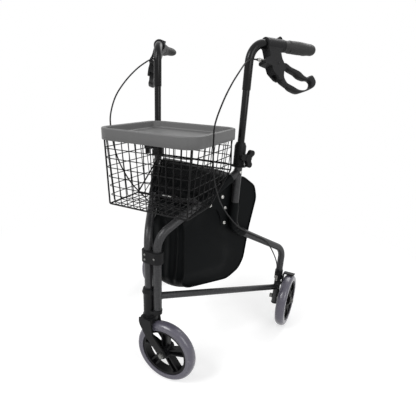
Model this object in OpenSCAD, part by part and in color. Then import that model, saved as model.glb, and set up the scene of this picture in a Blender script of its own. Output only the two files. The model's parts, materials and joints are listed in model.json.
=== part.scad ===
// Three wheel rollator: two side frames hinged at a front column over a swivel wheel,
// height-set handles with loop brakes, a wire basket with a tray, and a bag between the frames.
// The user stands at +Y and faces -Y. Left and right are the user's own; +X is the user's left.

/* [Side frames] */
// Outside diameter of the frame tubes
tube_d = 22.2; // [19:0.1:26]
// Wall of the frame tubes
tube_wall = 1.5; // [1:0.1:2]
// Outside diameter of the sloping lower tubes
cross_tube_d = 19; // [16:0.5:21]
// Distance between the axes of the two front column tubes
column_gap = 28; // [27:0.5:34]
// Angle of each side frame from the straight-ahead line
splay = 28; // [24:0.5:32]
// Rearward lean of the uprights and rear legs
lean = 2.5; // [0:0.5:4]
// Height of the open lower end of the front tubes
front_bottom_z = 216; // [213:1:227]
// Height where the front tubes turn back into the diagonals
front_bend_z = 427; // [412:1:442]
// Bend radius of the front tubes
front_bend_r = 60; // [45:1:70]
// Distance of the uprights behind the front tubes, at the junction
upright_s = 253; // [245:1:262]
// Height where the diagonals meet the uprights
junction_z = 569; // [562:1:577]
// Height of the top end of the uprights
upright_top_z = 635; // [629:1:643]
// Height where the uprights turn into the rear legs
knee_z = 403; // [392:1:417]
// Bend radius at the knee and the heel
leg_bend_r = 50; // [42:1:58]
// Distance of the heel bend behind the front tubes
heel_s = 478; // [465:1:495]
// Height of the heel bend
heel_z = 276; // [267:1:287]
// Height of the lower end of the rear legs
leg_bottom_z = 70; // [64:1:76]
// Height of the lower tube at the front column
cross_front_z = 258; // [249:1:267]
// Height of the lower tube at the rear leg
cross_rear_z = 129; // [123:1:147]

/* [Wheels] */
// Outside diameter of the wheels
wheel_d = 180; // [172:1:186]
// Width of the tyres
tyre_w = 30; // [26:1:31]
// Radial depth of the tyres
tyre_depth = 20; // [16:1:23]
// Width of the rim ring
rim_w = 25; // [20:1:28]
// Radial thickness of the rim ring
rim_t = 7; // [5:0.5:9]
// Diameter of the wheel hubs
hub_d = 36; // [30:1:42]
// Width of the wheel hubs
hub_w = 34; // [31:1:36]
// Number of spokes
spoke_count = 5; // [4:1:7]
// Diameter of the axles
axle_d = 10; // [8:0.5:12]
// Distance from the leg axis to the middle of a rear wheel
wheel_offset = 38; // [36:0.5:42]
// Radial running clearance on axles and pins
pin_clearance = 0.05; // [0.02:0.01:0.1]

/* [Caster] */
// Distance of the front axle behind the swivel axis
caster_trail = 55; // [48:1:60]
// Direction the caster trails in, turned from +X
caster_angle = 0; // [-6:1:16]
// Thickness of the fork legs
fork_leg_t = 5; // [4:0.5:7]
// Gap between a fork leg and the tyre
fork_gap = 4; // [3:0.5:6]
// Diameter of the swivel bolt
swivel_d = 12; // [10:0.5:14]
// Outside diameter of the swivel bearings
swivel_bearing_d = 21; // [19:0.5:22]
// Height of the underside of the caster housing
housing_bottom_z = 188; // [187.5:0.5:189]

/* [Handles] */
// Height of the handle axis at rest
handle_height = 899; // [877:1:917]
// Diameter of the sliding stems
stem_d = 19; // [16:0.1:19]
// Height of the lower end of the stems
stem_bottom_z = 517; // [509:1:527]
// Height where the thicker handle tube starts
handle_step_z = 785; // [767:1:802]
// Bend radius of the handle tubes
handle_bend_r = 48; // [42:1:56]
// Length of the handle tube behind the stem axis
handle_reach = 228; // [215:1:240]
// Radial clearance of the stems in the uprights and clamps
slide_clearance = 0.1; // [0.05:0.01:0.1]
// Diameter of the grips
grip_d = 35; // [32:0.5:38]
// Length of the grips with their collar
grip_l = 122; // [110:1:130]
// Reach of the palm rest wing from the grip axis
wing_reach = 40; // [34:1:44]

/* [Height clamps] */
// Outside diameter of the clamps
clamp_d = 32; // [30:0.5:33]
// Length of a clamp below the top of the upright
clamp_below = 50; // [46:1:54]
// Length of a clamp above the top of the upright
clamp_above = 16; // [12:1:20]
// Diameter of the ledge that carries the basket
ledge_d = 41; // [40:0.5:42]
// Drop of the knob screw below the top of the upright
knob_drop = 22; // [18:1:26]
// Diameter of the knob screw
knob_screw_d = 8; // [6:0.5:9]
// Reach of the knob lobes from the screw axis
knob_reach = 26; // [22:0.5:28]

/* [Brakes] */
// Outward tilt of the brake housings about the handle
brake_tilt = 18; // [10:1:22]
// Width of the brake housings
brake_w = 26; // [24:0.5:30]
// Width of the lever hub between the housing cheeks
lever_hub_w = 13; // [11:0.5:14]
// Width of the finger loop
lever_loop_w = 18; // [16:0.5:20]
// Side clearance of the lever hub in the housing
lever_clearance = 0.5; // [0.3:0.05:0.8]
// Diameter of the lever pivot pins
lever_pin_d = 6; // [5:0.5:7]
// Diameter of the brake cables
cable_d = 3.8; // [3:0.2:4.4]
// Gap between a resting brake shoe and its tyre
shoe_gap = 2.8; // [2.4:0.1:3.4]
// Thickness of the brake shoes
shoe_t = 4; // [3:0.5:5]
// Wire diameter of the brake return springs
spring_wire_d = 1.4; // [1:0.1:1.6]
// Mean diameter of the brake return springs
spring_d = 8; // [7:0.5:9]
// Number of curls in a return spring
spring_curls = 6; // [5:1:7]

/* [Folding brace] */
// Distance of the brace behind the column
brace_y = 111; // [109:0.5:111.5]
// Height of the brace pivots
brace_z = 499; // [498:0.5:500]
// Height of the brace bars
brace_h = 15; // [13:0.5:16]
// Thickness of the brace bars
brace_t = 3; // [2.5:0.25:3]
// Distance of the outer brace pivots from the middle
brace_half = 50; // [49:0.5:51]
// Distance of the left end of the brace from the middle
brace_left = 36; // [34:0.5:37]
// Height of the brace's left tip
brace_tip_h = 10; // [8:0.5:11]

/* [Basket and tray] */
// Width of the tray
tray_w = 270; // [262:1:276]
// Depth of the tray, front to back
tray_depth = 250; // [240:1:254]
// Height of the tray with its skirt
tray_h = 28; // [24:0.5:30]
// Height of the tray rim
tray_top_z = 691; // [687:1:697]
// Corner radius of the tray
tray_corner_r = 32; // [26:1:38]
// Width of the tray's raised rim
tray_rim_w = 10; // [8:0.5:14]
// Depth of the tray's well
tray_well = 19; // [15:0.5:20]
// Wall of the tray
tray_wall = 2.5; // [2:0.25:3]
// Distance of the tray's back edge behind the column
tray_back_y = 212; // [206:1:213]
// Diameter of the basket's edge wires
edge_wire_d = 5; // [4:0.25:5]
// Diameter of the basket's mesh wires
mesh_wire_d = 2.6; // [2:0.1:3]
// Height of the basket floor
basket_floor_z = 502; // [501:0.5:505]
// How far each side of the basket draws in towards its floor
basket_taper = 17; // [10:1:22]
// Distance of the floor's back edge behind the column
basket_floor_y = 92; // [84:1:93]
// Spaces across the basket's front
mesh_across = 12; // [9:1:13]
// Spaces along the basket's sides
mesh_along = 9; // [6:1:10]
// Rows of mesh from floor to rim
mesh_rows = 7; // [5:1:8]

/* [Bag] */
// Clearance between the bag and the frame tubes
bag_gap = 4; // [3:0.5:6]
// Distance of the bag's front face behind the column
bag_front_y = 74; // [70:1:80]
// Distance of the bag's back edge behind the column
bag_back_y = 312; // [300:1:318]
// Height of the bag's underside
bag_bottom_z = 227; // [221:1:237]
// Height of the bag's top
bag_top_z = 561; // [555:1:567]
// Thickness of the strap sleeves
strap_t = 2.2; // [1.5:0.1:3]

/* [Hidden] */

$fn = 48;
// Gap left between faces of pieces that only rest on each other
seat_gap = 0.3;
// Gap of a coped tube end to the tube it is welded to
weld_gap = 0.1;
// Extra length by which a cutting shape passes the faces it cuts
past = 1;
tube_r = tube_d / 2;
tube_id = tube_d - 2 * tube_wall;
wheel_r = wheel_d / 2;
half_gap = column_gap / 2;
metal_grey = [0.30, 0.30, 0.31];
plastic_black = [0.10, 0.10, 0.11];
steel_bright = [0.72, 0.72, 0.74];
tyre_grey = [0.43, 0.42, 0.47];
tray_grey = [0.42, 0.42, 0.43];
vinyl_black = [0.08, 0.09, 0.10];

// Points of the side frame as (distance behind the front tube, height)
function upright_at(z) = [upright_s + (z - junction_z) * tan(lean), z];
function leg_at(z) = [heel_s - (heel_z - z) * tan(lean), z];
front_foot = [0, front_bottom_z];
front_corner = [0, front_bend_z];
junction = upright_at(junction_z);
upright_top = upright_at(upright_top_z);
knee = upright_at(knee_z);
heel = [heel_s, heel_z];
leg_foot = leg_at(leg_bottom_z);
rear_axle_s = leg_at(wheel_r)[0];
// The rear wheels reach furthest back and the tray or the caster furthest forward; the origin lies midway
rear_axle_y = rear_axle_s * cos(splay);
fork_leg_y = tyre_w / 2 + fork_gap;
front_axle_half = fork_leg_y + fork_leg_t + 8;
caster_reach = front_axle_half * cos(caster_angle) - caster_trail * sin(caster_angle)
    + axle_d / 2 * abs(sin(caster_angle));
tray_front_y = tray_back_y - tray_depth;
column_y = -(rear_axle_y + wheel_r - max(caster_reach, -tray_front_y)) / 2;

// Puts a side frame's piece in place; x points outward, y along the frame, z up
module left_side() {
    translate([half_gap, column_y, 0]) rotate([0, 0, -splay]) children();
}
module right_side() {
    mirror([1, 0, 0]) left_side() children();
}
module both_sides_of_middle() {
    for (side = [0, 1]) mirror([side, 0, 0]) children();
}
// Turns a drawing in (distance, height) upright into the frame's own plane
module in_frame_plane() {
    rotate([90, 0, 90]) children();
}
// Axes along the upright, with the origin on it at a height
module on_upright(z) {
    translate([0, upright_at(z)[0], z]) rotate([-lean, 0, 0]) children();
}
// Axes of the rear wheel, with the origin on the leg at axle height and x outward
module at_rear_axle() {
    translate([0, rear_axle_s, wheel_r]) rotate([0, 0, splay]) children();
}
module at_column() {
    translate([0, column_y, 0]) children();
}
module at_swivel() {
    translate([-half_gap, column_y, 0]) rotate([0, 0, caster_angle]) children();
}
// Axes of the brake on a handle: y along the handle from the stem axis, z up from the handle axis
brake_s = upright_at(handle_height)[0];
module at_brake() {
    translate([0, brake_s, handle_height]) rotate([0, -brake_tilt, 0]) children();
}

// A bent tube through a row of corners in the plane, with one bend radius for each inner corner
function heading(a, b) = atan2(b[1] - a[1], b[0] - a[0]);
function half_turn(d) = d > 180 ? d - 360 : d < -180 ? d + 360 : d;
function turn(path, i) = half_turn(heading(path[i], path[i + 1]) - heading(path[i - 1], path[i]));
function trim(path, radii, i) =
    i == 0 || i == len(path) - 1 ? 0 : radii[i - 1] * tan(abs(turn(path, i)) / 2);
function unit(h) = [cos(h), sin(h)];
// The seam is where a section's round edge starts: all runs of a tube have theirs in one line
module ring(od, id, seam = 0) {
    difference() {
        rotate(seam) circle(d = od);
        if (id > 0) rotate(seam) circle(d = id);
    }
}
module straight_run(a, b, od, id) {
    translate([a[0], a[1], 0]) rotate([0, 0, heading(a, b)]) rotate([0, 90, 0])
        linear_extrude(norm(b - a)) ring(od, id, 90);
}
// Each run starts where the last one ended, with the tube's own direction along x.
// A hair gap between runs keeps each a plain cylinder or torus piece.
run_gap = 0.01;
module tube_from(path, radii, i, od, id) {
    run = norm(path[i + 1] - path[i]) - trim(path, radii, i) - trim(path, radii, i + 1);
    last = i == len(path) - 2;
    low = i == 0 ? 0 : run_gap;
    high = last ? run : run - run_gap;
    rotate([0, 90, 0]) translate([0, 0, low]) linear_extrude(high - low) ring(od, id, 90);
    if (!last) {
        t = turn(path, i + 1);
        side = sign(t) * radii[i];
        translate([run, side, 0]) {
            rotate([0, 0, -90 * sign(t)]) rotate_extrude(angle = t, $fn = 96)
                translate([radii[i], 0]) ring(od, id, t > 0 ? 180 : 0);
            rotate([0, 0, t]) translate([0, -side, 0]) tube_from(path, radii, i + 1, od, id);
        }
    }
}
module bent_tube(path, radii, od, id) {
    translate([path[0][0], path[0][1], 0]) rotate([0, 0, heading(path[0], path[1])])
        tube_from(path, radii, 0, od, id);
}

front_path = [front_foot, front_corner, junction];
leg_path = [upright_top, knee, heel, leg_foot];
// Height of the bottom of the right front tube, inside the caster housing
column_foot_z = housing_bottom_z + 54;
right_front_path = [[0, column_foot_z], front_corner, junction];

module upright_envelope() {
    on_upright(junction_z) cylinder(d = tube_d + 2 * weld_gap, h = 200, center = true);
}
module leg_envelope() {
    in_frame_plane() straight_run(leg_foot, heel, tube_d, 0);
}
module front_tube(path) {
    color(metal_grey) difference() {
        in_frame_plane() bent_tube(path, [front_bend_r], tube_d, tube_id);
        upright_envelope();
    }
}
module knob_axis(d, from, to) {
    on_upright(upright_top_z - knob_drop) translate([from, 0, 0]) rotate([0, 90, 0])
        cylinder(d = d, h = to - from);
}
module leg_tube() {
    color(metal_grey) difference() {
        in_frame_plane() bent_tube(leg_path, [leg_bend_r, leg_bend_r], tube_d, tube_id);
        knob_axis(knob_screw_d + 2 * pin_clearance, 0, tube_d);
        at_rear_axle() rotate([0, 90, 0]) cylinder(d = axle_d, h = 2 * tube_d, center = true);
    }
}
module cross_tube() {
    color(metal_grey) difference() {
        in_frame_plane() straight_run([0, cross_front_z], leg_at(cross_rear_z),
            cross_tube_d, cross_tube_d - 2 * tube_wall);
        cylinder(d = tube_d, h = 2 * front_bend_z);
        leg_envelope();
    }
}

// Plastic plugs in the open tube ends, with a flared rim
plug_rim = 1.5;
plug_rim_h = 4;
plug_l = 26;
module tube_plug(bore) {
    color(plastic_black) difference() {
        union() {
            translate([0, 0, -plug_rim_h]) cylinder(d = tube_d + 2 * plug_rim, h = plug_rim_h);
            cylinder(d = tube_id, h = plug_l);
        }
        if (bore > 0) translate([0, 0, -plug_rim_h - past]) cylinder(d = bore, h = plug_l + plug_rim_h + 2 * past);
    }
}
leg_plug_l = 5;
module leg_plug() {
    color(plastic_black) translate([0, leg_foot[0], leg_foot[1]]) rotate([-lean, 0, 0]) {
        translate([0, 0, -plug_rim_h]) cylinder(d = tube_d + plug_rim, h = plug_rim_h);
        cylinder(d = tube_id, h = leg_plug_l);
    }
}

// Column hinge: an upper bracket round both tubes, and a pin under the left one
bracket_z = 357;
bracket_h = 32;
bracket_wall = 5.5;
rivet_head_d = 6.4;
rivet_head_h = 1.6;
rivet_shank_d = 3.2;
rivet_depth = 3;
bracket_r = tube_r + bracket_wall;
module stadium(r, half) {
    translate([-half, -r]) square([2 * half, 2 * r]);
    for (side = [-1, 1]) translate([side * half, 0]) circle(r = r);
}
rivet_places = [[-1, 0.28], [-1, 0.72], [1, 0.5]];
module rivet_shape(grow) {
    for (p = rivet_places) translate([p[0] * half_gap, -bracket_r, bracket_z + p[1] * bracket_h])
        rotate([90, 0, 0]) {
            translate([0, 0, -rivet_depth]) cylinder(d = rivet_shank_d, h = rivet_depth + grow);
            cylinder(d1 = rivet_head_d, d2 = rivet_head_d / 2, h = rivet_head_h);
        }
}
module hinge_bracket() {
    color(plastic_black) at_column() difference() {
        translate([0, 0, bracket_z]) linear_extrude(bracket_h) stadium(bracket_r, half_gap);
        translate([-half_gap, 0, 0]) cylinder(r = tube_r, h = front_bend_z);
        translate([half_gap, 0, 0]) cylinder(r = tube_r + pin_clearance, h = front_bend_z);
        rivet_shape(past);
    }
}
module hinge_rivets() {
    color(steel_bright) at_column() rivet_shape(0);
}
hinge_pin_d = 8;
ear_top_z = front_bottom_z - plug_rim_h - seat_gap;
ear_h = 8;
ear_r = 12;
hinge_pin_l = ear_h + seat_gap + plug_rim_h + 18;
module hinge_pin() {
    color(steel_bright) at_column() translate([half_gap, 0, ear_top_z - ear_h])
        cylinder(d = hinge_pin_d, h = hinge_pin_l);
}

// Caster: housing on the right tube, two bearings, swivel bolt, fork and front axle
housing_d = 31;
housing_collar_d = 37;
housing_collar_h = 20;
housing_foot_d = 35;
housing_foot_h = 6;
housing_top_z = column_foot_z + 33;
bearing_h = 7;
module caster_housing() {
    color(plastic_black) at_column() difference() {
        union() {
            translate([-half_gap, 0, 0]) {
                translate([0, 0, housing_bottom_z]) cylinder(d = housing_d, h = housing_top_z - housing_bottom_z);
                translate([0, 0, housing_bottom_z]) cylinder(d = housing_foot_d, h = housing_foot_h);
                translate([0, 0, housing_top_z - housing_collar_h])
                    cylinder(d1 = housing_d, d2 = housing_collar_d, h = housing_collar_h / 2);
                translate([0, 0, housing_top_z - housing_collar_h / 2])
                    cylinder(d1 = housing_collar_d, d2 = housing_d, h = housing_collar_h / 2);
            }
            translate([0, 0, ear_top_z - ear_h]) linear_extrude(ear_h) stadium(ear_r, half_gap);
        }
        translate([-half_gap, 0, housing_bottom_z - past])
            cylinder(d = swivel_bearing_d, h = column_foot_z - housing_bottom_z + 2 * past);
        translate([-half_gap, 0, column_foot_z]) cylinder(d = tube_d, h = front_bend_z);
        translate([half_gap, 0, ear_top_z - ear_h - past]) cylinder(d = hinge_pin_d, h = ear_h + 2 * past);
        // slot for the right lower tube, open at the top, and clearance for the left tube and its plug
        translate([0, -column_y, 0]) right_side() lower_tube_slot();
        translate([half_gap, 0, ear_top_z]) cylinder(d = tube_d + 2 * plug_rim + 2 * seat_gap, h = front_bend_z);
    }
}
module lower_tube_slot() {
    w = cross_tube_d + 2 * seat_gap;
    in_frame_plane() straight_run([0, cross_front_z], leg_at(cross_rear_z), w, 0);
    translate([-w / 2, 0, cross_front_z - 4]) cube([w, housing_collar_d, housing_top_z]);
}
upper_bearing_z = column_foot_z - bearing_h - 6;
module caster_bearings() {
    color(steel_bright) at_swivel() for (z = [housing_bottom_z, upper_bearing_z]) translate([0, 0, z])
        linear_extrude(bearing_h) ring(swivel_bearing_d - 2 * pin_clearance, swivel_d + 2 * pin_clearance);
}
crown_h = 14;
crown_top_z = housing_bottom_z - seat_gap;
crown_d = 38;
bolt_head_h = 4;
bolt_head_d = 18;
swivel_nut_d = 17;
module caster_bolt() {
    color(steel_bright) at_swivel() {
        translate([0, 0, crown_top_z - crown_h - bolt_head_h]) cylinder(d = bolt_head_d, h = bolt_head_h, $fn = 6);
        translate([0, 0, crown_top_z - crown_h])
            cylinder(d = swivel_d, h = upper_bearing_z + bearing_h + seat_gap - crown_top_z + crown_h);
        translate([0, 0, upper_bearing_z + bearing_h + seat_gap]) cylinder(d = swivel_nut_d, h = 4, $fn = 6);
    }
}
fork_eye_r = 12;
// Each leg sweeps from the crown down to the axle
fork_knee = [caster_trail * 0.26, wheel_r + 46];
fork_knee_r = 12;
fork_neck_r = 14;
module fork_leg_outline() {
    crown_low = crown_top_z - crown_h;
    hull() {
        translate([caster_trail, wheel_r]) circle(r = fork_eye_r, $fn = 32);
        translate(fork_knee) circle(r = fork_knee_r, $fn = 32);
    }
    hull() {
        translate(fork_knee) circle(r = fork_knee_r, $fn = 32);
        translate([-3, crown_low - 4]) circle(r = fork_neck_r, $fn = 32);
        translate([-crown_d / 2, crown_low]) square([crown_d, crown_h]);
    }
}
module caster_fork() {
    color(plastic_black) at_swivel() difference() {
        union() {
            for (side = [-1, 1]) translate([0, side * (fork_leg_y + fork_leg_t / 2) + fork_leg_t / 2, 0])
                rotate([90, 0, 0]) linear_extrude(fork_leg_t) fork_leg_outline();
            translate([0, 0, crown_top_z - crown_h]) linear_extrude(crown_h)
                intersection() {
                    circle(d = 2 * (fork_leg_y + fork_leg_t));
                    square([crown_d, 2 * (fork_leg_y + fork_leg_t)], center = true);
                }
        }
        translate([0, 0, crown_top_z - crown_h - past]) cylinder(d = swivel_d, h = crown_h + 2 * past);
        translate([caster_trail, 0, wheel_r]) rotate([90, 0, 0])
            cylinder(d = axle_d, h = 4 * fork_leg_y, center = true);
    }
}
nut_d = 17;
nut_h = 6;
module front_axle() {
    color(steel_bright) at_swivel() translate([caster_trail, 0, wheel_r]) rotate([90, 0, 0]) {
        cylinder(d = axle_d, h = 2 * front_axle_half, center = true);
        for (side = [0, 1]) mirror([0, 0, side]) {
            translate([0, 0, fork_leg_y + fork_leg_t]) cylinder(d = nut_d, h = nut_h, $fn = 6);
            translate([0, 0, hub_w / 2 + seat_gap])
                linear_extrude(fork_leg_y - hub_w / 2 - seat_gap) ring(nut_d, axle_d);
        }
    }
}

// A wheel about the z axis: rim with ribbed spokes, and its tyre
rim_r = wheel_r - tyre_depth;
web_t = 5;
rib_t = 4.5;
spoke_hub_w = 17;
spoke_rim_w = 22;
rib_depth = 20;
module spoke() {
    reach = rim_r - rim_t / 2;
    foot = hub_d / 2 - 3;
    linear_extrude(web_t, center = true)
        polygon([[foot, -spoke_hub_w / 2], [reach, -spoke_rim_w / 2], [reach, spoke_rim_w / 2], [foot, spoke_hub_w / 2]]);
    for (side = [-1, 1]) linear_extrude(rib_depth, center = true)
        polygon([[foot, side * spoke_hub_w / 2], [reach, side * spoke_rim_w / 2],
            [reach, side * (spoke_rim_w / 2 - rib_t)], [foot, side * (spoke_hub_w / 2 - rib_t)]]);
}
module wheel_rim() {
    color(plastic_black) difference() {
        union() {
            linear_extrude(rim_w, center = true) ring(2 * rim_r, 2 * (rim_r - rim_t));
            cylinder(d = hub_d, h = rim_w, center = true);
            cylinder(d = hub_d - 8, h = hub_w, center = true);
            for (i = [0 : spoke_count - 1]) rotate([0, 0, (i + 0.25) * 360 / spoke_count]) spoke();
        }
        cylinder(d = axle_d + 2 * pin_clearance, h = 2 * hub_w, center = true);
    }
}
tread_r = 22;
module tyre() {
    color(tyre_grey) rotate_extrude($fn = 96) intersection() {
        translate([wheel_r - tread_r, 0]) circle(r = tread_r);
        translate([rim_r, -tyre_w / 2]) square([tyre_depth, tyre_w]);
    }
}
module rear_wheel_place() {
    at_rear_axle() translate([wheel_offset, 0, 0]) rotate([0, 90, 0]) children();
}
module front_wheel_place() {
    at_swivel() translate([caster_trail, 0, wheel_r]) rotate([90, 0, 0]) children();
}
axle_inner = tube_r + 9;
axle_outer = wheel_offset + hub_w / 2 + 9;
module rear_axle() {
    color(steel_bright) at_rear_axle() difference() {
        rotate([0, 90, 0]) {
            translate([0, 0, -axle_inner]) cylinder(d = axle_d, h = axle_inner + axle_outer);
            translate([0, 0, -axle_inner]) cylinder(d = nut_d, h = axle_inner - tube_r, $fn = 6);
            linear_extrude(wheel_offset - hub_w / 2 - seat_gap) ring(nut_d, axle_d - 1);
            translate([0, 0, wheel_offset + hub_w / 2 + seat_gap]) cylinder(d = nut_d, h = nut_h, $fn = 6);
        }
        // the spacer's end is coped to the leg, and the axle stays whole through it
        difference() {
            rotate([-lean, 0, 0]) cylinder(d = tube_d, h = 3 * nut_d, center = true);
            rotate([0, 90, 0]) cylinder(d = axle_d, h = 4 * tube_d, center = true);
        }
    }
}

// Height clamp at the top of an upright, with the ledge for the basket, and its star knob
boss_d = 15;
boss_reach = clamp_d / 2 + 2;
ledge_h = 3;
// The ledge is a ring of its own under the clamp's body
module height_clamp() {
    bore_r = stem_d / 2 + slide_clearance;
    body_low = ledge_h - clamp_below + weld_gap;
    color(plastic_black) on_upright(upright_top_z) translate([0, 0, -clamp_below])
        linear_extrude(ledge_h) ring(ledge_d, tube_d);
    color(plastic_black) difference() {
        union() {
            on_upright(upright_top_z) rotate_extrude() polygon([
                [tube_r, body_low], [clamp_d / 2, body_low], [clamp_d / 2, clamp_above * 0.4],
                [clamp_d / 2 - 4, clamp_above], [bore_r, clamp_above], [bore_r, 0], [tube_r, 0]]);
            difference() {
                knob_axis(boss_d, 0, boss_reach);
                on_upright(upright_top_z) cylinder(d = clamp_d - 2, h = 4 * clamp_below, center = true);
            }
        }
        knob_axis(knob_screw_d + 2 * pin_clearance, 0, boss_reach + past);
    }
}
knob_hub_d = 20;
knob_lobe_r = 8;
knob_hub_l = 20;
knob_plate_t = 12;
module star_knob() {
    first = boss_reach + seat_gap;
    reach = knob_reach - knob_lobe_r;
    color(plastic_black) union() {
        knob_axis(knob_screw_d, stem_d / 2 + seat_gap, first + knob_hub_l / 2);
        knob_axis(knob_hub_d, first, first + knob_hub_l + 1);
        on_upright(upright_top_z - knob_drop) translate([first + knob_hub_l - knob_plate_t, 0, 0])
            rotate([0, 90, 0]) linear_extrude(knob_plate_t) for (i = [0 : 2]) rotate(120 * i + 20) {
                translate([reach, 0]) circle(r = knob_lobe_r);
                translate([0, 1 - knob_lobe_r]) square([reach, 2 * knob_lobe_r - 2]);
            }
    }
}

// Handle: sliding stem, bent handle tube, grip with a palm wing
stem_overlap = 34;
module stem() {
    top = handle_step_z + stem_overlap;
    color(plastic_black) in_frame_plane()
        straight_run(upright_at(stem_bottom_z), upright_at(top), stem_d, stem_d - 2 * tube_wall);
}
handle_corner = upright_at(handle_height);
handle_end = handle_corner + [handle_reach, 0];
module handle_tube() {
    color(plastic_black) in_frame_plane() bent_tube(
        [upright_at(handle_step_z), handle_corner, handle_end], [handle_bend_r],
        tube_d, stem_d + 2 * slide_clearance);
}
grip_end_t = 6;
grip_collar_d = 30;
grip_collar_l = 21;
grip_start = handle_reach + grip_end_t - grip_l;
module grip() {
    half = grip_d / 2;
    stop = grip_start + grip_l;
    wing_t = 9;
    color(plastic_black) translate([0, brake_s, handle_height]) difference() {
        union() {
            rotate([-90, 0, 0]) rotate_extrude() polygon([
                [0, grip_start], [grip_collar_d / 2, grip_start],
                [grip_collar_d / 2, grip_start + grip_collar_l - 3], [half - 1.5, grip_start + grip_collar_l],
                [half, grip_start + grip_l * 0.45], [half - 1, grip_start + grip_l * 0.8],
                [half, stop - 8], [half - 4, stop], [0, stop]]);
            hull() {
                translate([-half + 6, stop - 62, 0]) cylinder(r = 3, h = 3, center = true, $fn = 24);
                translate([-wing_reach + 5, stop - 8, 0]) cylinder(r = 5, h = 3, center = true, $fn = 24);
                translate([-5, stop - 8, 0]) cylinder(r = 5, h = 2 * wing_t, center = true, $fn = 24);
                translate([-5, stop - 62, 0]) cylinder(r = 5, h = 2 * wing_t, center = true, $fn = 24);
            }
        }
        rotate([-90, 0, 0]) translate([0, 0, grip_start - past])
            cylinder(d = tube_d, h = handle_reach - grip_start + past);
    }
}

// Brake at the handle: clamp housing, finger loop lever on a pin, barrel adjuster
band_start = 47;
band_l = 62;
band_wall = 5.5;
band_d = tube_d + 2 * band_wall;
pivot_y = 76;
pivot_z = -50;
bump_d = 14;
barrel_z = -42;
barrel_d = 6.6;
barrel_nut_d = 9;
barrel_front = 13;
barrel_stop = 44;
lever_slot = lever_hub_w + 2 * lever_clearance;
module flat_part(w) {
    rotate([90, 0, 90]) linear_extrude(w, center = true) children();
}
module housing_outline() {
    offset(r = 3, $fn = 24) offset(delta = -3) polygon([
        [band_start, -6], [50, -33], [30, -44], [28, -52], [51, -58], [54, -72], [73, -89], [86, -94],
        [94, -68], [99, -52], [92, -38], [90, -20], [band_start + band_l, -6]]);
}
module brake_housing() {
    color(plastic_black) at_brake() difference() {
        union() {
            rotate([-90, 0, 0]) translate([0, 0, band_start]) cylinder(d = band_d, h = band_l);
            translate([0, band_start + band_l - 10, band_d / 2 - 3]) rotate([0, 90, 0])
                cylinder(d = bump_d, h = brake_w * 0.7, center = true);
            flat_part(brake_w) housing_outline();
        }
        rotate([-90, 0, 0]) cylinder(d = tube_d, h = 2 * handle_reach);
        translate([-lever_slot / 2, 62, -120]) cube([lever_slot, 100, 94]);
        translate([0, pivot_y, pivot_z]) rotate([0, 90, 0]) cylinder(d = lever_pin_d, h = 2 * brake_w, center = true);
        translate([0, 0, barrel_z]) rotate([-90, 0, 0]) cylinder(d = barrel_d, h = barrel_stop);
    }
}
module lever_pin() {
    color(steel_bright) at_brake() translate([0, pivot_y, pivot_z]) rotate([0, 90, 0])
        cylinder(d = lever_pin_d, h = brake_w + 2, center = true);
}
module lever_outer() {
    polygon([[100, -43], [130, -55], [164, -65], [180, -76], [196, -80], [210, -73], [219, -74], [227, -86], [227, -95],
        [215, -106], [189, -116], [166, -122], [146, -126], [127, -121], [104, -110], [84, -98], [88, -60]]);
}
module lever_inner() {
    polygon([[101, -58], [120, -66], [142, -74], [157, -83], [178, -88], [197, -88], [207, -97], [200, -108],
        [170, -116], [151, -115], [128, -106], [106, -96], [97, -86]]);
}
loop_start = 109;
module brake_lever() {
    color(plastic_black) at_brake() difference() {
        union() {
            flat_part(lever_loop_w) intersection() {
                offset(r = 4, $fn = 24) offset(delta = -4) lever_outer();
                translate([loop_start, -150]) square([300, 150]);
            }
            flat_part(lever_hub_w) {
                lever_outer();
                polygon([[pivot_y, pivot_z + 12], [100, -43], [90, -98], [78, -92], [pivot_y - 6, pivot_z - 11]]);
                translate([pivot_y, pivot_z]) circle(r = 13);
            }
        }
        flat_part(2 * lever_loop_w) offset(r = 4, $fn = 24) offset(delta = -4) lever_inner();
        translate([0, pivot_y, pivot_z]) rotate([0, 90, 0])
            cylinder(d = lever_pin_d + 2 * pin_clearance, h = 2 * brake_w, center = true);
    }
}
module cable_adjuster() {
    color(steel_bright) at_brake() translate([0, 0, barrel_z]) rotate([-90, 0, 0]) difference() {
        union() {
            translate([0, 0, barrel_front]) cylinder(d = barrel_d, h = barrel_stop - barrel_front);
            translate([0, 0, barrel_front + 6]) cylinder(d = barrel_nut_d, h = 5, $fn = 12);
        }
        cylinder(d = cable_d + 2 * seat_gap, h = barrel_front + 6);
    }
}

// Sweeps a round section along points; the sides are set out from one reference direction
function along(pts, i) = let (n = len(pts) - 1) pts[min(i + 1, n)] - pts[max(i - 1, 0)];
function unit3(v) = v / norm(v);
function section(p, dir, ref, r, sides) = let (a = unit3(cross(dir, ref)), b = unit3(cross(dir, a)))
    [for (k = [0 : sides - 1]) p + r * (cos(360 * k / sides) * a + sin(360 * k / sides) * b)];
module swept_tube(pts, ref, r, sides) {
    n = len(pts);
    rings = [for (i = [0 : n - 1]) each section(pts[i], unit3(along(pts, i)), ref[min(i, len(ref) - 1)], r, sides)];
    walls = [for (i = [0 : n - 2]) for (k = [0 : sides - 1]) for (half = [0, 1])
        let (a = i * sides + k, b = i * sides + (k + 1) % sides)
            half == 0 ? [a, b + sides, a + sides] : [a, b, b + sides]];
    caps = [for (k = [1 : sides - 2]) for (end = [0, 1]) let (s = end * (n - 1) * sides)
        end == 0 ? [s, s + k + 1, s + k] : [s, s + k, s + k + 1]];
    polyhedron(rings, concat(walls, caps));
}
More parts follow.
